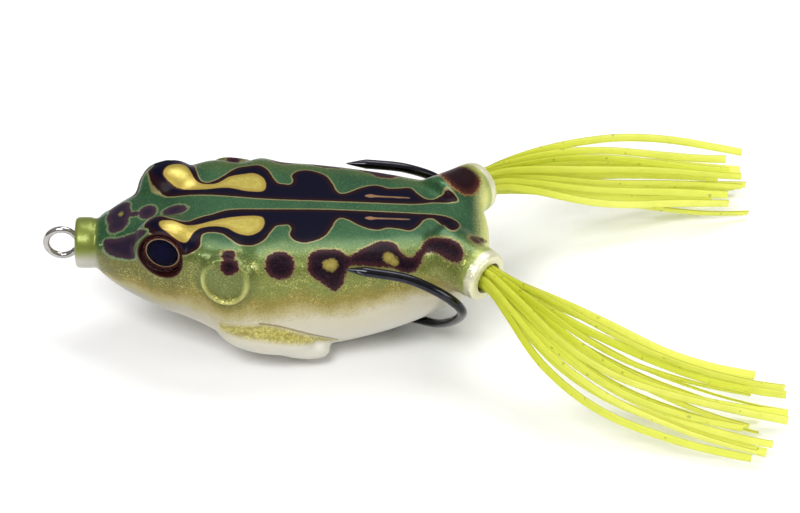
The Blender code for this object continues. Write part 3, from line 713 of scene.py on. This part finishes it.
# ---------------------------------------------------------------- materials
class Shader:
    """Short calls for building one node material."""

    def __init__(self, name):
        self.material = bpy.data.materials.new(name)
        self.material.use_nodes = True
        self.tree = self.material.node_tree
        self.tree.nodes.clear()
        self.output = self.node("ShaderNodeOutputMaterial")

    def node(self, kind, **settings):
        made = self.tree.nodes.new(kind)
        for key, value in settings.items():
            setattr(made, key, value)
        return made

    def link(self, value, socket):
        if isinstance(value, (int, float)):
            socket.default_value = value
        elif isinstance(value, (tuple, list)):
            socket.default_value = (*value, 1.0)[: len(socket.default_value)]
        else:
            self.tree.links.new(value, socket)

    def fill(self, node, **values):
        """Gives the node's inputs their values or links. _ stands for a space in an input's name."""
        for key, value in values.items():
            self.link(value, node.inputs[key.replace("_", " ")])
        return node

    def math(self, operation, a, b, clamp=False):
        made = self.node("ShaderNodeMath", operation=operation, use_clamp=clamp)
        self.link(a, made.inputs[0])
        self.link(b, made.inputs[1])
        return made.outputs[0]

    def times(self, a, b):
        return self.math("MULTIPLY", a, b)

    def plus(self, a, b, clamp=False):
        return self.math("ADD", a, b, clamp)

    def minus(self, a, b, clamp=False):
        return self.math("SUBTRACT", a, b, clamp)

    def around(self, value, amount):
        """A noise value turned into a shift of up to half the amount either way."""
        return self.times(self.minus(value, 0.5), amount)

    def vector(self, operation, a, b=None, scale=None):
        made = self.node("ShaderNodeVectorMath", operation=operation)
        self.link(a, made.inputs[0])
        if b is not None:
            self.link(b, made.inputs[1])
        if scale is not None:
            self.fill(made, Scale=scale)
        return made.outputs[0]

    def attribute(self, name):
        return self.node("ShaderNodeAttribute", attribute_name=name).outputs["Fac"]

    def place(self):
        return self.node("ShaderNodeTexCoord").outputs["Object"]

    def coordinate(self, index):
        """Place along the object (0) or height (2), in mm."""
        made = self.fill(self.node("ShaderNodeSeparateXYZ"), Vector=self.place())
        return self.times(made.outputs[index], PER_METRE)

    def noise(self, size_mm, detail=3.0, roughness=0.5, stretch=(1, 1, 1)):
        mapping = self.fill(self.node("ShaderNodeMapping"), Vector=self.place(), Scale=stretch)
        made = self.fill(self.node("ShaderNodeTexNoise"), Vector=mapping.outputs[0],
                         Scale=PER_METRE / size_mm, Detail=detail, Roughness=roughness)
        return made.outputs["Fac"]

    def flakes(self, size_mm):
        """Cells of random colour."""
        made = self.node("ShaderNodeTexVoronoi", feature="F1")
        return self.fill(made, Vector=self.place(), Scale=PER_METRE / size_mm).outputs["Color"]

    def separate(self, colour):
        return self.fill(self.node("ShaderNodeSeparateColor"), Color=colour).outputs

    def step(self, value, low, high):
        """0 at low and 1 at high, smooth between, whichever of the two is the greater."""
        made = self.node("ShaderNodeMapRange", interpolation_type="SMOOTHSTEP")
        return self.fill(made, Value=value, From_Min=low, From_Max=high).outputs["Result"]

    def mix(self, share, a, b):
        made = self.node("ShaderNodeMix", data_type="RGBA")
        for value, index in ((share, 0), (a, 6), (b, 7)):
            self.link(value, made.inputs[index])
        return made.outputs[2]

    def bump(self, height, strength, distance_mm):
        made = self.node("ShaderNodeBump")
        return self.fill(made, Height=height, Strength=strength, Distance=distance_mm * MM).outputs[0]

    def finish(self, shader):
        self.link(shader.outputs[0], self.output.inputs["Surface"])
        return self.material

    def surface(self, **values):
        return self.finish(self.fill(self.node("ShaderNodeBsdfPrincipled"), **values))

    def blended_surface(self, share, first, second):
        blend = self.node("ShaderNodeMixShader")
        for value, socket in zip((share, first.outputs[0], second.outputs[0]), blend.inputs):
            self.link(value, socket)
        return self.finish(blend)


def skin_material():
    s = Shader("painted_skin")
    cloud, fine, grain = s.noise(5.0, 4.0, 0.6), s.noise(0.7, 3.0, 0.6), s.noise(0.26, 2.0, 0.6)
    flakes = s.flakes(0.16)
    flake = s.separate(flakes)
    along, high = s.coordinate(0), s.coordinate(2)
    wobble = s.around(fine, 0.16)
    rough_wobble = s.plus(s.around(fine, 0.6), s.around(grain, 0.8))
    fade = s.plus(s.attribute("fade"), s.plus(s.around(cloud, 4.5), s.around(grain, 2.6)))
    colour = s.mix(s.step(cloud, 0.3, 0.7), (0.017, 0.076, 0.026), (0.030, 0.106, 0.038))

    def lay(share, paint):
        nonlocal colour
        colour = s.mix(share, colour, paint)

    # Down from the green back: gold-green flank, olive gold, then the pearly belly, painted darker grey
    # towards the snout as painted shade under the chin
    pearl_with_painted_shade = s.mix(s.step(along, -24.0, -4.0), (0.36, 0.34, 0.25), (0.58, 0.54, 0.41))
    for low, high_end, paint in (
        (-13.0, -9.0, (0.066, 0.122, 0.026)),
        (-10.0, -4.5, (0.155, 0.180, 0.030)),
        (-3.5, -0.5, (0.225, 0.180, 0.028)),
        (-0.8, 1.6, (0.40, 0.345, 0.150)),
        (1.0, 3.6, pearl_with_painted_shade),
        # The lowest belly turns greyer: painted shade under the body, laid over the pearl paint
        (3.6, 9.0, (0.64, 0.62, 0.54)),
    ):
        lay(s.step(fade, low, high_end), paint)
    # The chin and snout stay olive further down
    chin = s.times(s.step(along, -12.0, -18.0), s.step(fade, 0.5, -3.0))
    chin = s.times(chin, s.step(fade, -13.0, -7.0))
    lay(s.times(chin, 0.75), (0.112, 0.092, 0.014))
    # Gold flakes on the flank, in patches, and green dust on the back
    gold_zone = s.times(s.step(fade, -11.0, -5.5), s.step(fade, 1.5, -1.5))
    patchy = s.step(s.noise(2.6, 3.0, 0.6), 0.42, 0.66)
    spark = s.times(s.step(flake[0], 0.55, 1.0), s.plus(0.25, s.times(patchy, 0.75)))
    lay(s.times(spark, s.times(gold_zone, 0.60)), (0.72, 0.66, 0.22))
    dust = s.times(s.step(flake[1], 0.82, 1.0), 0.25)
    lay(s.times(dust, s.step(fade, 0.0, -3.0)), (0.20, 0.42, 0.17))
    # Yellow-green where the paint thins out over the tail's end, and the snout collar, pale below
    tail = s.step(s.plus(along, s.around(grain, 2.2)), 27.4, 30.2)
    lay(s.times(tail, 0.9), (0.72, 0.72, 0.26))
    nose_colour = s.mix(s.step(high, 16.2, 13.8), (0.215, 0.250, 0.040), (0.56, 0.54, 0.48))
    lay(s.times(s.step(along, -28.4, -29.8), 0.9), nose_colour)
    # Foreleg gilding, with a fine brown line along its upper edge
    gilt = s.plus(s.attribute("gilt"), s.times(rough_wobble, 0.5))
    gilt_grain = s.step(s.plus(fine, s.around(flake[2], 0.3)), 0.35, 0.75)
    lay(s.times(s.step(gilt, -0.5, 0.9), 0.94), s.mix(gilt_grain, (0.270, 0.225, 0.026), (0.58, 0.52, 0.12)))
    lay(s.times(s.step(s.attribute("ridge"), 0.34, 0.06), 0.75), (0.13, 0.085, 0.014))
    # Ear: olive inside, a soft dark surround, and a pale gold ring, a painted highlight on the raised ring
    # that fades out above
    ear = s.attribute("ear")
    lay(s.times(s.step(ear, -0.2, -1.0), 0.55), (0.105, 0.140, 0.042))
    surround = s.times(s.step(ear, 0.35, 0.8), s.step(ear, 2.2, 0.8))
    lay(s.times(surround, 0.45), (0.075, 0.090, 0.020))
    # Pale gold along the raised ring: painted highlight, strongest low down
    ear_ring_highlight = s.times(s.step(ear, -0.6, -0.05), s.step(ear, 0.6, 0.05))
    ear_ring_highlight = s.times(ear_ring_highlight, s.step(high, 21.0, 17.5))
    lay(s.times(ear_ring_highlight, 0.65), (0.56, 0.56, 0.19))
    # Blotches: each has a core, a browner edge and, in most, a thin outline of another colour
    mottled = s.mix(s.step(grain, 0.40, 0.7), (0.0060, 0.0028, 0.007), (0.026, 0.009, 0.014))
    yellow_grain = s.step(s.plus(fine, s.times(grain, 0.5)), 0.5, 1.0)
    yellow = s.mix(yellow_grain, (0.45, 0.35, 0.052), (0.54, 0.46, 0.095))
    head_wobble, lid_wobble = s.times(rough_wobble, 0.6), s.times(wobble, 0.5)
    covers = {}
    for name, shift, core, edge, line, line_width, softness in (
        ("band", wobble, (0.0012, 0.0010, 0.0105), (0.014, 0.0030, 0.005), (0.235, 0.215, 0.085), 0.20, 0.07),
        ("spots", rough_wobble, mottled, (0.040, 0.012, 0.015), (0.21, 0.19, 0.06), 0.20, 0.15),
        ("head_spots", head_wobble, (0.020, 0.012, 0.026), (0.040, 0.020, 0.032),
         (0.16, 0.23, 0.10), 0.2, 0.14),
        ("hip_spot", rough_wobble, (0.014, 0.0045, 0.006), (0.05, 0.014, 0.010),
         (0.30, 0.16, 0.05), 0.15, 0.2),
        ("yellow", wobble, yellow, (0.40, 0.29, 0.05), (0.03, 0.010, 0.008), 0.16, 0.07),
        ("slit", wobble, (0.34, 0.20, 0.09), (0.28, 0.15, 0.07), None, 0, 0.1),
        ("centres", rough_wobble, (0.36, 0.30, 0.080), (0.24, 0.19, 0.045), None, 0, 0.25),
        ("lid", lid_wobble, (0.020, 0.0030, 0.004), (0.030, 0.005, 0.006), None, 0, 0.12),
    ):
        at = s.plus(s.attribute(name), shift)
        if line is not None:
            lay(s.step(at, line_width + softness, line_width), line)
        covers[name] = s.step(at, softness, -softness)
        lay(covers[name], s.mix(s.step(at, -1.0, -0.25), core, edge))
    # Cream rims of the leg stubs
    rim = s.plus(s.attribute("rim"), s.times(rough_wobble, 0.5))
    lay(s.step(rim, -1.8, 0.1), s.mix(s.step(rim, -0.4, 0.3), (0.34, 0.40, 0.10), (0.74, 0.72, 0.50)))
    # Dark paint is duller than the rest, and the flakes on the flank glint
    dark = covers["band"]
    for name in ("spots", "head_spots", "hip_spot", "lid"):
        dark = s.math("MAXIMUM", dark, covers[name])
    dark = s.minus(dark, s.math("MAXIMUM", covers["yellow"], covers["slit"]), clamp=True)
    bright = s.minus(1.0, dark)
    pearl = s.step(fade, 0.0, 4.0)
    metal = s.times(bright, s.minus(0.50, s.times(pearl, 0.42)))
    metal = s.plus(metal, s.times(spark, s.times(gold_zone, 0.3)), clamp=True)
    flake_tilt = s.vector("SUBTRACT", flakes, (0.5, 0.5, 0.5))
    glint = s.times(bright, s.plus(0.10, s.times(gold_zone, 0.24)))
    relief = s.bump(s.plus(s.times(fine, 0.6), s.times(grain, 0.4)), 0.35, 0.05)
    normal = s.vector("NORMALIZE", s.vector("ADD", relief, s.vector("SCALE", flake_tilt, scale=glint)))
    return s.surface(
        Base_Color=colour, Metallic=metal, Roughness=s.plus(0.33, s.times(fine, 0.10)), Normal=normal,
        Specular_IOR_Level=s.plus(0.06, s.times(bright, 0.34)),
        Coat_Weight=s.plus(0.03, s.times(bright, 0.17)), Coat_Roughness=0.14,
        Subsurface_Weight=s.times(pearl, 0.10), Subsurface_Scale=0.0008,
    )


def rubber_material(name, light, dark, size_mm=0.8):
    s = Shader(name)
    cloud, fine = s.noise(size_mm * 4, 3.0), s.noise(size_mm * 0.5, 3.0, 0.6)
    colour = s.mix(s.step(s.plus(cloud, s.around(fine, 0.4)), 0.3, 0.7), dark, light)
    return s.surface(Base_Color=colour, Roughness=s.plus(0.42, s.times(fine, 0.2)),
                     Normal=s.bump(fine, 0.4, 0.04), Subsurface_Weight=0.12, Subsurface_Scale=0.0008)


def wire_material(name, light, dark, low, high, coat):
    """Plated wire. low and high are its roughness where it is clean and where it is scratched."""
    s = Shader(name)
    cloud, fine = s.noise(1.6, 4.0, 0.6), s.noise(0.16, 3.0, 0.6)
    scratch = s.noise(0.25, 4.0, 0.7, stretch=(0.15, 1, 1))
    colour = s.mix(s.step(cloud, 0.3, 0.75), light, dark)
    roughness = s.plus(low, s.times(s.step(scratch, 0.45, 0.8), high - low))
    return s.surface(Base_Color=colour, Metallic=1.0, Roughness=roughness, Normal=s.bump(fine, 0.25, 0.012),
                     Coat_Weight=coat, Coat_Roughness=0.05)


def lead_material():
    s = Shader("cast_lead")
    cloud, fine = s.noise(1.5, 4.0, 0.65), s.noise(0.3, 4.0, 0.65)
    colour = s.mix(s.step(cloud, 0.35, 0.7), (0.16, 0.165, 0.18), (0.30, 0.30, 0.31))
    return s.surface(Base_Color=colour, Metallic=0.85, Roughness=s.plus(0.48, s.times(fine, 0.25)),
                     Normal=s.bump(s.plus(cloud, fine), 0.5, 0.06))


def iris_material():
    """A dark pupil, a thin gold ring and a brown iris, by the distance from the middle in mm."""
    s = Shader("painted_iris")
    radius = s.attribute("radius")
    fine, grain = s.noise(0.5, 3.0, 0.6), s.noise(0.12, 2.0, 0.6)
    at = s.plus(radius, s.around(fine, 0.12))
    colour = s.mix(grain, (0.030, 0.005, 0.004), (0.060, 0.010, 0.007))
    colour = s.mix(s.step(at, 2.95, 3.15), colour, (0.014, 0.004, 0.006))
    gold = s.times(s.step(at, 2.44, 2.52), s.step(at, 2.70, 2.60))
    colour = s.mix(gold, colour, s.mix(grain, (0.20, 0.13, 0.07), (0.34, 0.25, 0.14)))
    pupil_colour = s.mix(s.step(radius, 0.6, 2.4), (0.002, 0.002, 0.020), (0.001, 0.001, 0.006))
    colour = s.mix(s.step(at, 2.52, 2.42), colour, pupil_colour)
    roughness = s.plus(0.3, s.times(grain, 0.15))
    return s.surface(Base_Color=colour, Metallic=s.times(gold, 0.8), Roughness=roughness,
                     Normal=s.bump(grain, 0.3, 0.02), Specular_IOR_Level=0.02)


def clear_material():
    """A clear dome: light passes straight through, with the gloss laid over by the angle of view."""
    s = Shader("clear_dome")
    fine = s.noise(0.4, 3.0, 0.6)
    gloss = s.fill(s.node("ShaderNodeBsdfGlossy"), Roughness=s.plus(0.02, s.times(fine, 0.03)))
    tint = s.mix(fine, (0.97, 0.97, 0.98), (1.0, 1.0, 1.0))
    through = s.fill(s.node("ShaderNodeBsdfTransparent"), Color=tint)
    fresnel = s.fill(s.node("ShaderNodeFresnel"), IOR=1.08)
    return s.blended_surface(fresnel.outputs[0], through, gloss)


def strand_material():
    """Rubber that lets light through, paler towards the strands' ends, with painted shade along their narrow
    edges.
    """
    s = Shader("chartreuse_rubber")
    edge, tint = s.attribute("edge"), s.attribute("tint")
    fine, cloud = s.noise(0.5, 3.0, 0.6), s.noise(3.0, 2.0)
    at_root = s.mix(tint, (0.66, 0.70, 0.055), (0.78, 0.82, 0.085))
    at_end = s.mix(tint, (0.84, 0.87, 0.15), (0.93, 0.94, 0.26))
    colour = s.mix(s.step(s.coordinate(0), 33.0, 52.0), at_root, at_end)
    # Darker olive along each strand's narrow edges: painted shade
    colour = s.mix(s.step(edge, 0.3, 0.8), colour, (0.34, 0.30, 0.030))
    colour = s.mix(s.times(s.step(cloud, 0.35, 0.8), 0.25), colour, (0.56, 0.60, 0.06))
    speck = s.step(s.separate(s.flakes(0.4))[0], 0.988, 0.996)
    colour = s.mix(s.times(speck, 0.6), colour, (0.10, 0.10, 0.02))
    rubber = s.fill(s.node("ShaderNodeBsdfPrincipled"), Base_Color=colour, Normal=s.bump(fine, 0.3, 0.04),
                    Roughness=s.plus(0.32, s.times(fine, 0.2)), Specular_IOR_Level=0.4)
    glow = s.mix(tint, (0.90, 0.94, 0.20), (0.96, 0.98, 0.30))
    through = s.fill(s.node("ShaderNodeBsdfTranslucent"), Color=glow)
    return s.blended_surface(0.45, rubber, through)


def floor_material():
    s = Shader("pale_floor")
    cloud, fine = s.noise(60.0, 3.0), s.noise(3.0, 2.0)
    patches = s.step(s.plus(cloud, s.times(fine, 0.1)), 0.3, 0.9)
    colour = s.mix(patches, (0.93, 0.93, 0.93), (0.95, 0.95, 0.95))
    return s.surface(Base_Color=colour, Roughness=0.9, Specular_IOR_Level=0.1)


# ---------------------------------------------------------------- smaller pieces
WIRE_SIDES, WIRE_STEP, HOOK_STEP, SHARP_WIRE_ANGLE = 24, 0.22, 0.4, 50
EYE_SIDES, FOIL_ROWS, DOME_ROWS = 72, 24, 21
STRAND_STEPS, STRAND_SIDES, LOWEST_STRAND = 72, 12, 0.55


def swept(route, half_sizes):
    """A bar swept along a route. half_sizes gives its half width and half height at each step."""
    rings = []
    for k, (here, across, up) in enumerate(turning_frames(route, Vector((0, 1, 0)))):
        wide, high = half_sizes(k)
        turns = angles_round(WIRE_SIDES)
        rings.append([here + across * (math.cos(a) * wide) + up * (math.sin(a) * high) for a in turns])
    return loft(rings)


def wire_arc(x, z, radius, degrees):
    """Points of an arc in the lure's middle plane."""
    turns = [math.radians(d) for d in degrees]
    return [(x + radius * math.cos(a), 0.0, z + radius * math.sin(a)) for a in turns]


def make_line_tie():
    """The wire: its ring, a straight run through the nose, and its rear loop."""
    ring_back = RING_X + RING_RADIUS
    points = wire_arc(RING_X, NOSE_Z, RING_RADIUS, range(-28, -331, -13))
    points += [(ring_back + 0.7, 0.0, NOSE_Z + 0.15), (ring_back + 2.4, 0.0, NOSE_Z)]
    points += [(-26.0, 0.0, NOSE_Z), (LOOP_X - LOOP_RADIUS - 1.6, 0.0, NOSE_Z + 0.25)]
    points += wire_arc(LOOP_X, LOOP_Z, LOOP_RADIUS, range(140, -171, -31))
    route = even_route(points, WIRE_STEP)

    def size(k):
        from_end = min(k, len(route) - 1 - k)
        return (WIRE_RADIUS * min(1.0, 0.72 + 0.14 * from_end),) * 2

    return add_mesh("nose_ring_wire", *swept(route, size), sharp=SHARP_WIRE_ANGLE)


def make_hook():
    """Both shanks, bends and points as one wire, tapered to its points and forged flatter at the bends."""
    half = [*HOOK_EYE, *HOOK_SHANK, *HOOK_BEND]
    left = [mirrored(p, -1) for p in reversed(half[1:])]
    route = even_route(left + half, HOOK_STEP)
    last = len(route) - 1

    def size(k):
        from_end = min(k, last - k) * HOOK_STEP
        taper = min(1.0, 0.05 + 0.95 * (from_end / POINT_LENGTH) ** 0.85)
        forged = math.exp(-(((abs(k - last / 2) * HOOK_STEP) - 47.0) / 8.0) ** 2)
        return HOOK_RADIUS * taper * (1 - 0.10 * forged), HOOK_RADIUS * taper * (1 + 0.08 * forged)

    hook = add_mesh("double_hook_wire", *swept(route, size), sharp=SHARP_WIRE_ANGLE)
    for side in (-1, 1):
        tip = Vector(mirrored(HOOK_BEND[-1], side))
        back = (Vector(mirrored(HOOK_BEND[-2], side)) - tip).normalized()
        inward = Vector((0.0, -side, 0.0))
        inward = (inward - back * inward.dot(back)).normalized()
        start = tip + back * BARB_BACK * 0.4 - inward * 0.1
        run = tip + back * BARB_BACK - inward * BARB_RISE - start
        profile = ((0.0, 0.22), (run.length * 0.6, 0.24), (run.length, 0.06))
        tool = add_mesh("barb_tool", *turned_body(profile, start, run, 12))
        add_boolean(hook, "UNION", tool)
        hook.data = evaluated_copy(hook)
        hook.modifiers.clear()
        discard(tool)
    hook.data.shade_smooth()
    hook.data.set_sharp_from_angle(angle=math.radians(45))
    return hook


def make_eye(side, name):
    """The printed foil and the clear dome over it, each turned about the eye's axis."""
    floor, axis = eye_floor(side), eye_axis(side)
    top = EYE_GAP + FOIL_THICKNESS
    profile = [(EYE_GAP, EYE_RADIUS * k / 4) for k in (1, 2, 3, 4)]
    profile += [(top - 0.03, EYE_RADIUS), (top, EYE_RADIUS - 0.05)]
    profile += [(top, (EYE_RADIUS - 0.05) * k / FOIL_ROWS) for k in range(FOIL_ROWS - 1, 0, -1)]
    foil = add_mesh(f"{name}_iris_foil", *turned_body(profile, floor, axis, EYE_SIDES), sharp=40)
    put_attribute(foil.data, "radius", from_axis(mesh_points(foil.data), floor, axis)[1])
    seat = 2 * EYE_GAP + FOIL_THICKNESS
    profile = [(seat, EYE_RADIUS * k / 5) for k in (1, 2, 3, 4)]
    profile += [(seat, EYE_RADIUS - 0.04), (seat + 0.04, EYE_RADIUS), (seat + LENS_RIM, EYE_RADIUS)]
    for k in range(1, DOME_ROWS + 1):
        turn = math.pi / 2 * k / (DOME_ROWS + 0.6)
        profile.append((seat + LENS_RIM + LENS_RISE * math.sin(turn), EYE_RADIUS * math.cos(turn)))
    return foil, add_mesh(f"{name}_eye_dome", *turned_body(profile, floor, axis, EYE_SIDES), sharp=50)


def strand_places():
    """Where each strand of a bundle starts: sideways and upwards of the stub's axis."""
    places = []
    for row, count in enumerate(STRANDS_IN_ROWS):
        sideways = (row - (len(STRANDS_IN_ROWS) - 1) / 2) * ROW_PITCH
        places += [(sideways, (column - (count - 1) / 2) * COLUMN_PITCH) for column in range(count)]
    return places


def strand_line(name, leg, number, place, phases):
    """The strand's middle line: it follows the CAD strand and adds slow bends of its own."""
    mouth, axis, side = Vector(leg["mouth"]), stub_axis(leg), leg["side"]
    start = [mouth - axis * STRAND_ROOT_DEPTH, mouth - axis * 1.8, mouth + axis * 1.2]
    route = even_route([*start, *leg["route"]], 0.5)
    length = len(route) - 1
    reach = 0.94 + 0.06 * math.sin(2.4 * number + side)
    points = []
    for k in range(STRAND_STEPS + 1):
        share = k / STRAND_STEPS * reach
        at = share * length
        here = route[int(at)].lerp(route[min(int(at) + 1, length)], at - int(at))
        ahead = (route[min(int(at) + 4, length)] - route[max(int(at) - 2, 0)]).normalized()
        across = Vector((ahead.y, -ahead.x, 0.0)).normalized() * -side
        up = ahead.cross(across) * side
        fan = math.sin(math.pi / 2 * min(1.0, max(0.0, (share - FAN_START) / FAN_SPAN))) ** 1.3
        wander = STRAND_WANDER * fan * math.sin(1.7 * number + 7.0 * share)
        spread = place[0] * (1 + FAN_SIDEWAYS[name] * fan) + wander
        spread += fan * (0.5 * math.sin(4.2 * share + phases[0]) + 0.10 * math.sin(11.0 * share + phases[1]))
        lift = place[1] * (1 + FAN_UPWARDS * fan) + fan * 0.35 * math.sin(4.6 * share + phases[2])
        lift += STRAY_LIFT.get((name, number), 0.0) * math.sin(math.pi * min(1.0, share * 0.8)) ** 2
        point = here + across * spread + up * lift
        point.z = max(point.z, LOWEST_STRAND)
        points.append(point)
    return points


def make_strand(name, leg, number, place):
    """One rubber strand: a soft-edged strip along its line, with a gentle twist."""
    dice = random.Random(f"{name}{number}")
    phases = [dice.uniform(0, 2 * math.pi) for _ in range(4)]
    points = strand_line(name, leg, number, place, phases)
    roll_end = dice.uniform(-0.9, 0.9)
    profile = []
    for a in angles_round(STRAND_SIDES, 0.5):
        c, s = math.cos(a), math.sin(a)
        reach = (abs(c) ** 4 + abs(s) ** 4) ** -0.25
        profile.append((c * reach * STRAND_THICKNESS / 2, s * reach * STRAND_WIDTH / 2, abs(c * reach)))
    rings, edges = [], []
    for k, (here, across, up) in enumerate(turning_frames(points, Vector((0, 1, 0)))):
        share = k / STRAND_STEPS
        roll = roll_end * max(0.0, share - 0.12) + 0.2 * math.sin(4 * share + phases[3]) * min(1, share * 4)
        c, s = math.cos(roll), math.sin(roll)
        wide = 1.08 + 0.05 * math.sin(6 * share + phases[1])
        ring = []
        for a, b, flatness in profile:
            a, b = a * wide, b * wide
            ring.append(here + across * (a * c - b * s) + up * (a * s + b * c))
            edges.append(flatness)
        rings.append(ring)
    strand = add_mesh(f"{name}_skirt_strand_{number:02d}", *loft(rings), sharp=60)
    # How near each point lies to the strip's narrow edge, where the shader lays painted shade
    put_attribute(strand.data, "edge", 1 - np.array(edges))
    put_attribute(strand.data, "tint", np.full(len(edges), dice.random()))
    return strand


# ---------------------------------------------------------------- assembly
def dress(obj, material):
    obj.data.materials.clear()
    obj.data.materials.append(material)


def place(obj, body, slot, *nodes, material=None):
    if material is not None:
        dress(obj, material)
    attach(obj, body)
    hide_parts(*nodes)


skin, skin_outside = make_skin()
skin.data.materials.append(skin_material())
skin.data.materials.append(rubber_material("bare_skin_plastic", (0.84, 0.81, 0.62), (0.74, 0.70, 0.50)))
paint_skin(skin, skin_outside)
place(skin, "shell", "body_skin", "body_shell")

iris, dome = iris_material(), clear_material()
for eye_side, eye_name in ((-1, "left"), (1, "right")):
    foil, lens = make_eye(eye_side, eye_name)
    place(foil, "shell", "eye_foil", f"{eye_name}_eye_foil", material=iris)
    place(lens, "shell", "eye_lens", f"{eye_name}_eye_lens", material=dome)

nickel = wire_material("bright_nickel", (0.50, 0.48, 0.46), (0.34, 0.32, 0.31), 0.08, 0.24, 0.0)
black = wire_material("black_nickel", (0.030, 0.030, 0.037), (0.014, 0.014, 0.020), 0.14, 0.3, 0.25)
place(make_line_tie(), "line_tie", "bright_wire", "line_tie_wire", material=nickel)
place(make_hook(), "hook", "black_wire", "double_hook", material=black)

dress(NODES["keel_weight"], lead_material())
band_rubber = rubber_material("skirt_band_rubber", (0.60, 0.58, 0.46), (0.46, 0.44, 0.34), 0.4)
chartreuse = strand_material()
for leg_name, leg in LEGS.items():
    dress(NODES[f"{leg_name}_skirt_band"], band_rubber)
    for number, strand_place in enumerate(strand_places(), start=1):
        strand = make_strand(leg_name, leg, number, strand_place)
        place(strand, f"{leg_name}_leg", "strand", f"{leg_name}_strand_{number:02d}", material=chartreuse)

# ---------------------------------------------------------------- floor, lights and camera, in metres
FLOOR_HALF = 1.5
HORIZON_STRENGTH, ZENITH_STRENGTH, HORIZON_TOP = 0.22, 0.5, 0.1
# Each light's name, place, target, size and watts
LIGHTS = (
    ("key_light", (-0.16, -0.34, 0.50), (0.01, 0, 0.01), (0.30, 0.22), 2.25),
    ("top_light", (0.12, 0.22, 0.55), (0.01, 0, 0.01), (0.40, 0.30), 1.75),
    ("side_light", (0.45, -0.20, 0.22), (0.02, 0, 0.01), (0.25, 0.25), 0.9),
)
CAMERA_LENS, CAMERA_SENSOR, CAMERA_DISTANCE = 200, 36, 0.677
CAMERA_TARGET, CAMERA_ELEVATION = (0.01676, 0, 0.01234), math.radians(36)

floor_mesh = bpy.data.meshes.new("studio_floor")
floor_corners = [(FLOOR_HALF * a, FLOOR_HALF * b, 0) for a, b in ((-1, -1), (1, -1), (1, 1), (-1, 1))]
floor_mesh.from_pydata(floor_corners, [], [(0, 1, 2, 3)])
floor = new_object("studio_floor", floor_mesh)
floor_mesh.materials.append(floor_material())

world = bpy.data.worlds.new("studio_air")
bpy.context.scene.world = world
world.use_nodes = True
sky = world.node_tree
sky_place = sky.nodes.new("ShaderNodeTexCoord")
sky_height = sky.nodes.new("ShaderNodeSeparateXYZ")
sky_ramp = sky.nodes.new("ShaderNodeMapRange")
sky.links.new(sky_place.outputs["Generated"], sky_height.inputs[0])
sky.links.new(sky_height.outputs[2], sky_ramp.inputs["Value"])
sky_limits = (HORIZON_TOP, 1.0, HORIZON_STRENGTH, ZENITH_STRENGTH)
for key, value in zip(("From Min", "From Max", "To Min", "To Max"), sky_limits):
    sky_ramp.inputs[key].default_value = value
sky.links.new(sky_ramp.outputs[0], sky.nodes["Background"].inputs["Strength"])
sky.nodes["Background"].inputs["Color"].default_value = (1.0, 1.0, 1.0, 1.0)


def aim(obj, location, target):
    obj.location = location
    obj.rotation_euler = (Vector(target) - Vector(location)).to_track_quat("-Z", "Y").to_euler()


for light_name, light_place, light_target, light_size, watts in LIGHTS:
    light = bpy.data.lights.new(light_name, "AREA")
    light.shape = "RECTANGLE"
    light.size, light.size_y = light_size
    light.energy = watts
    aim(new_object(light_name, light), light_place, light_target)

camera_data = bpy.data.cameras.new("studio_camera")
camera_data.lens = CAMERA_LENS
camera_data.sensor_width = CAMERA_SENSOR
camera = new_object("studio_camera", camera_data)
camera_way = Vector((0, -math.cos(CAMERA_ELEVATION), math.sin(CAMERA_ELEVATION)))
aim(camera, Vector(CAMERA_TARGET) + camera_way * CAMERA_DISTANCE, CAMERA_TARGET)
bpy.context.scene.camera = camera
bpy.context.scene.view_settings.view_transform = "Standard"
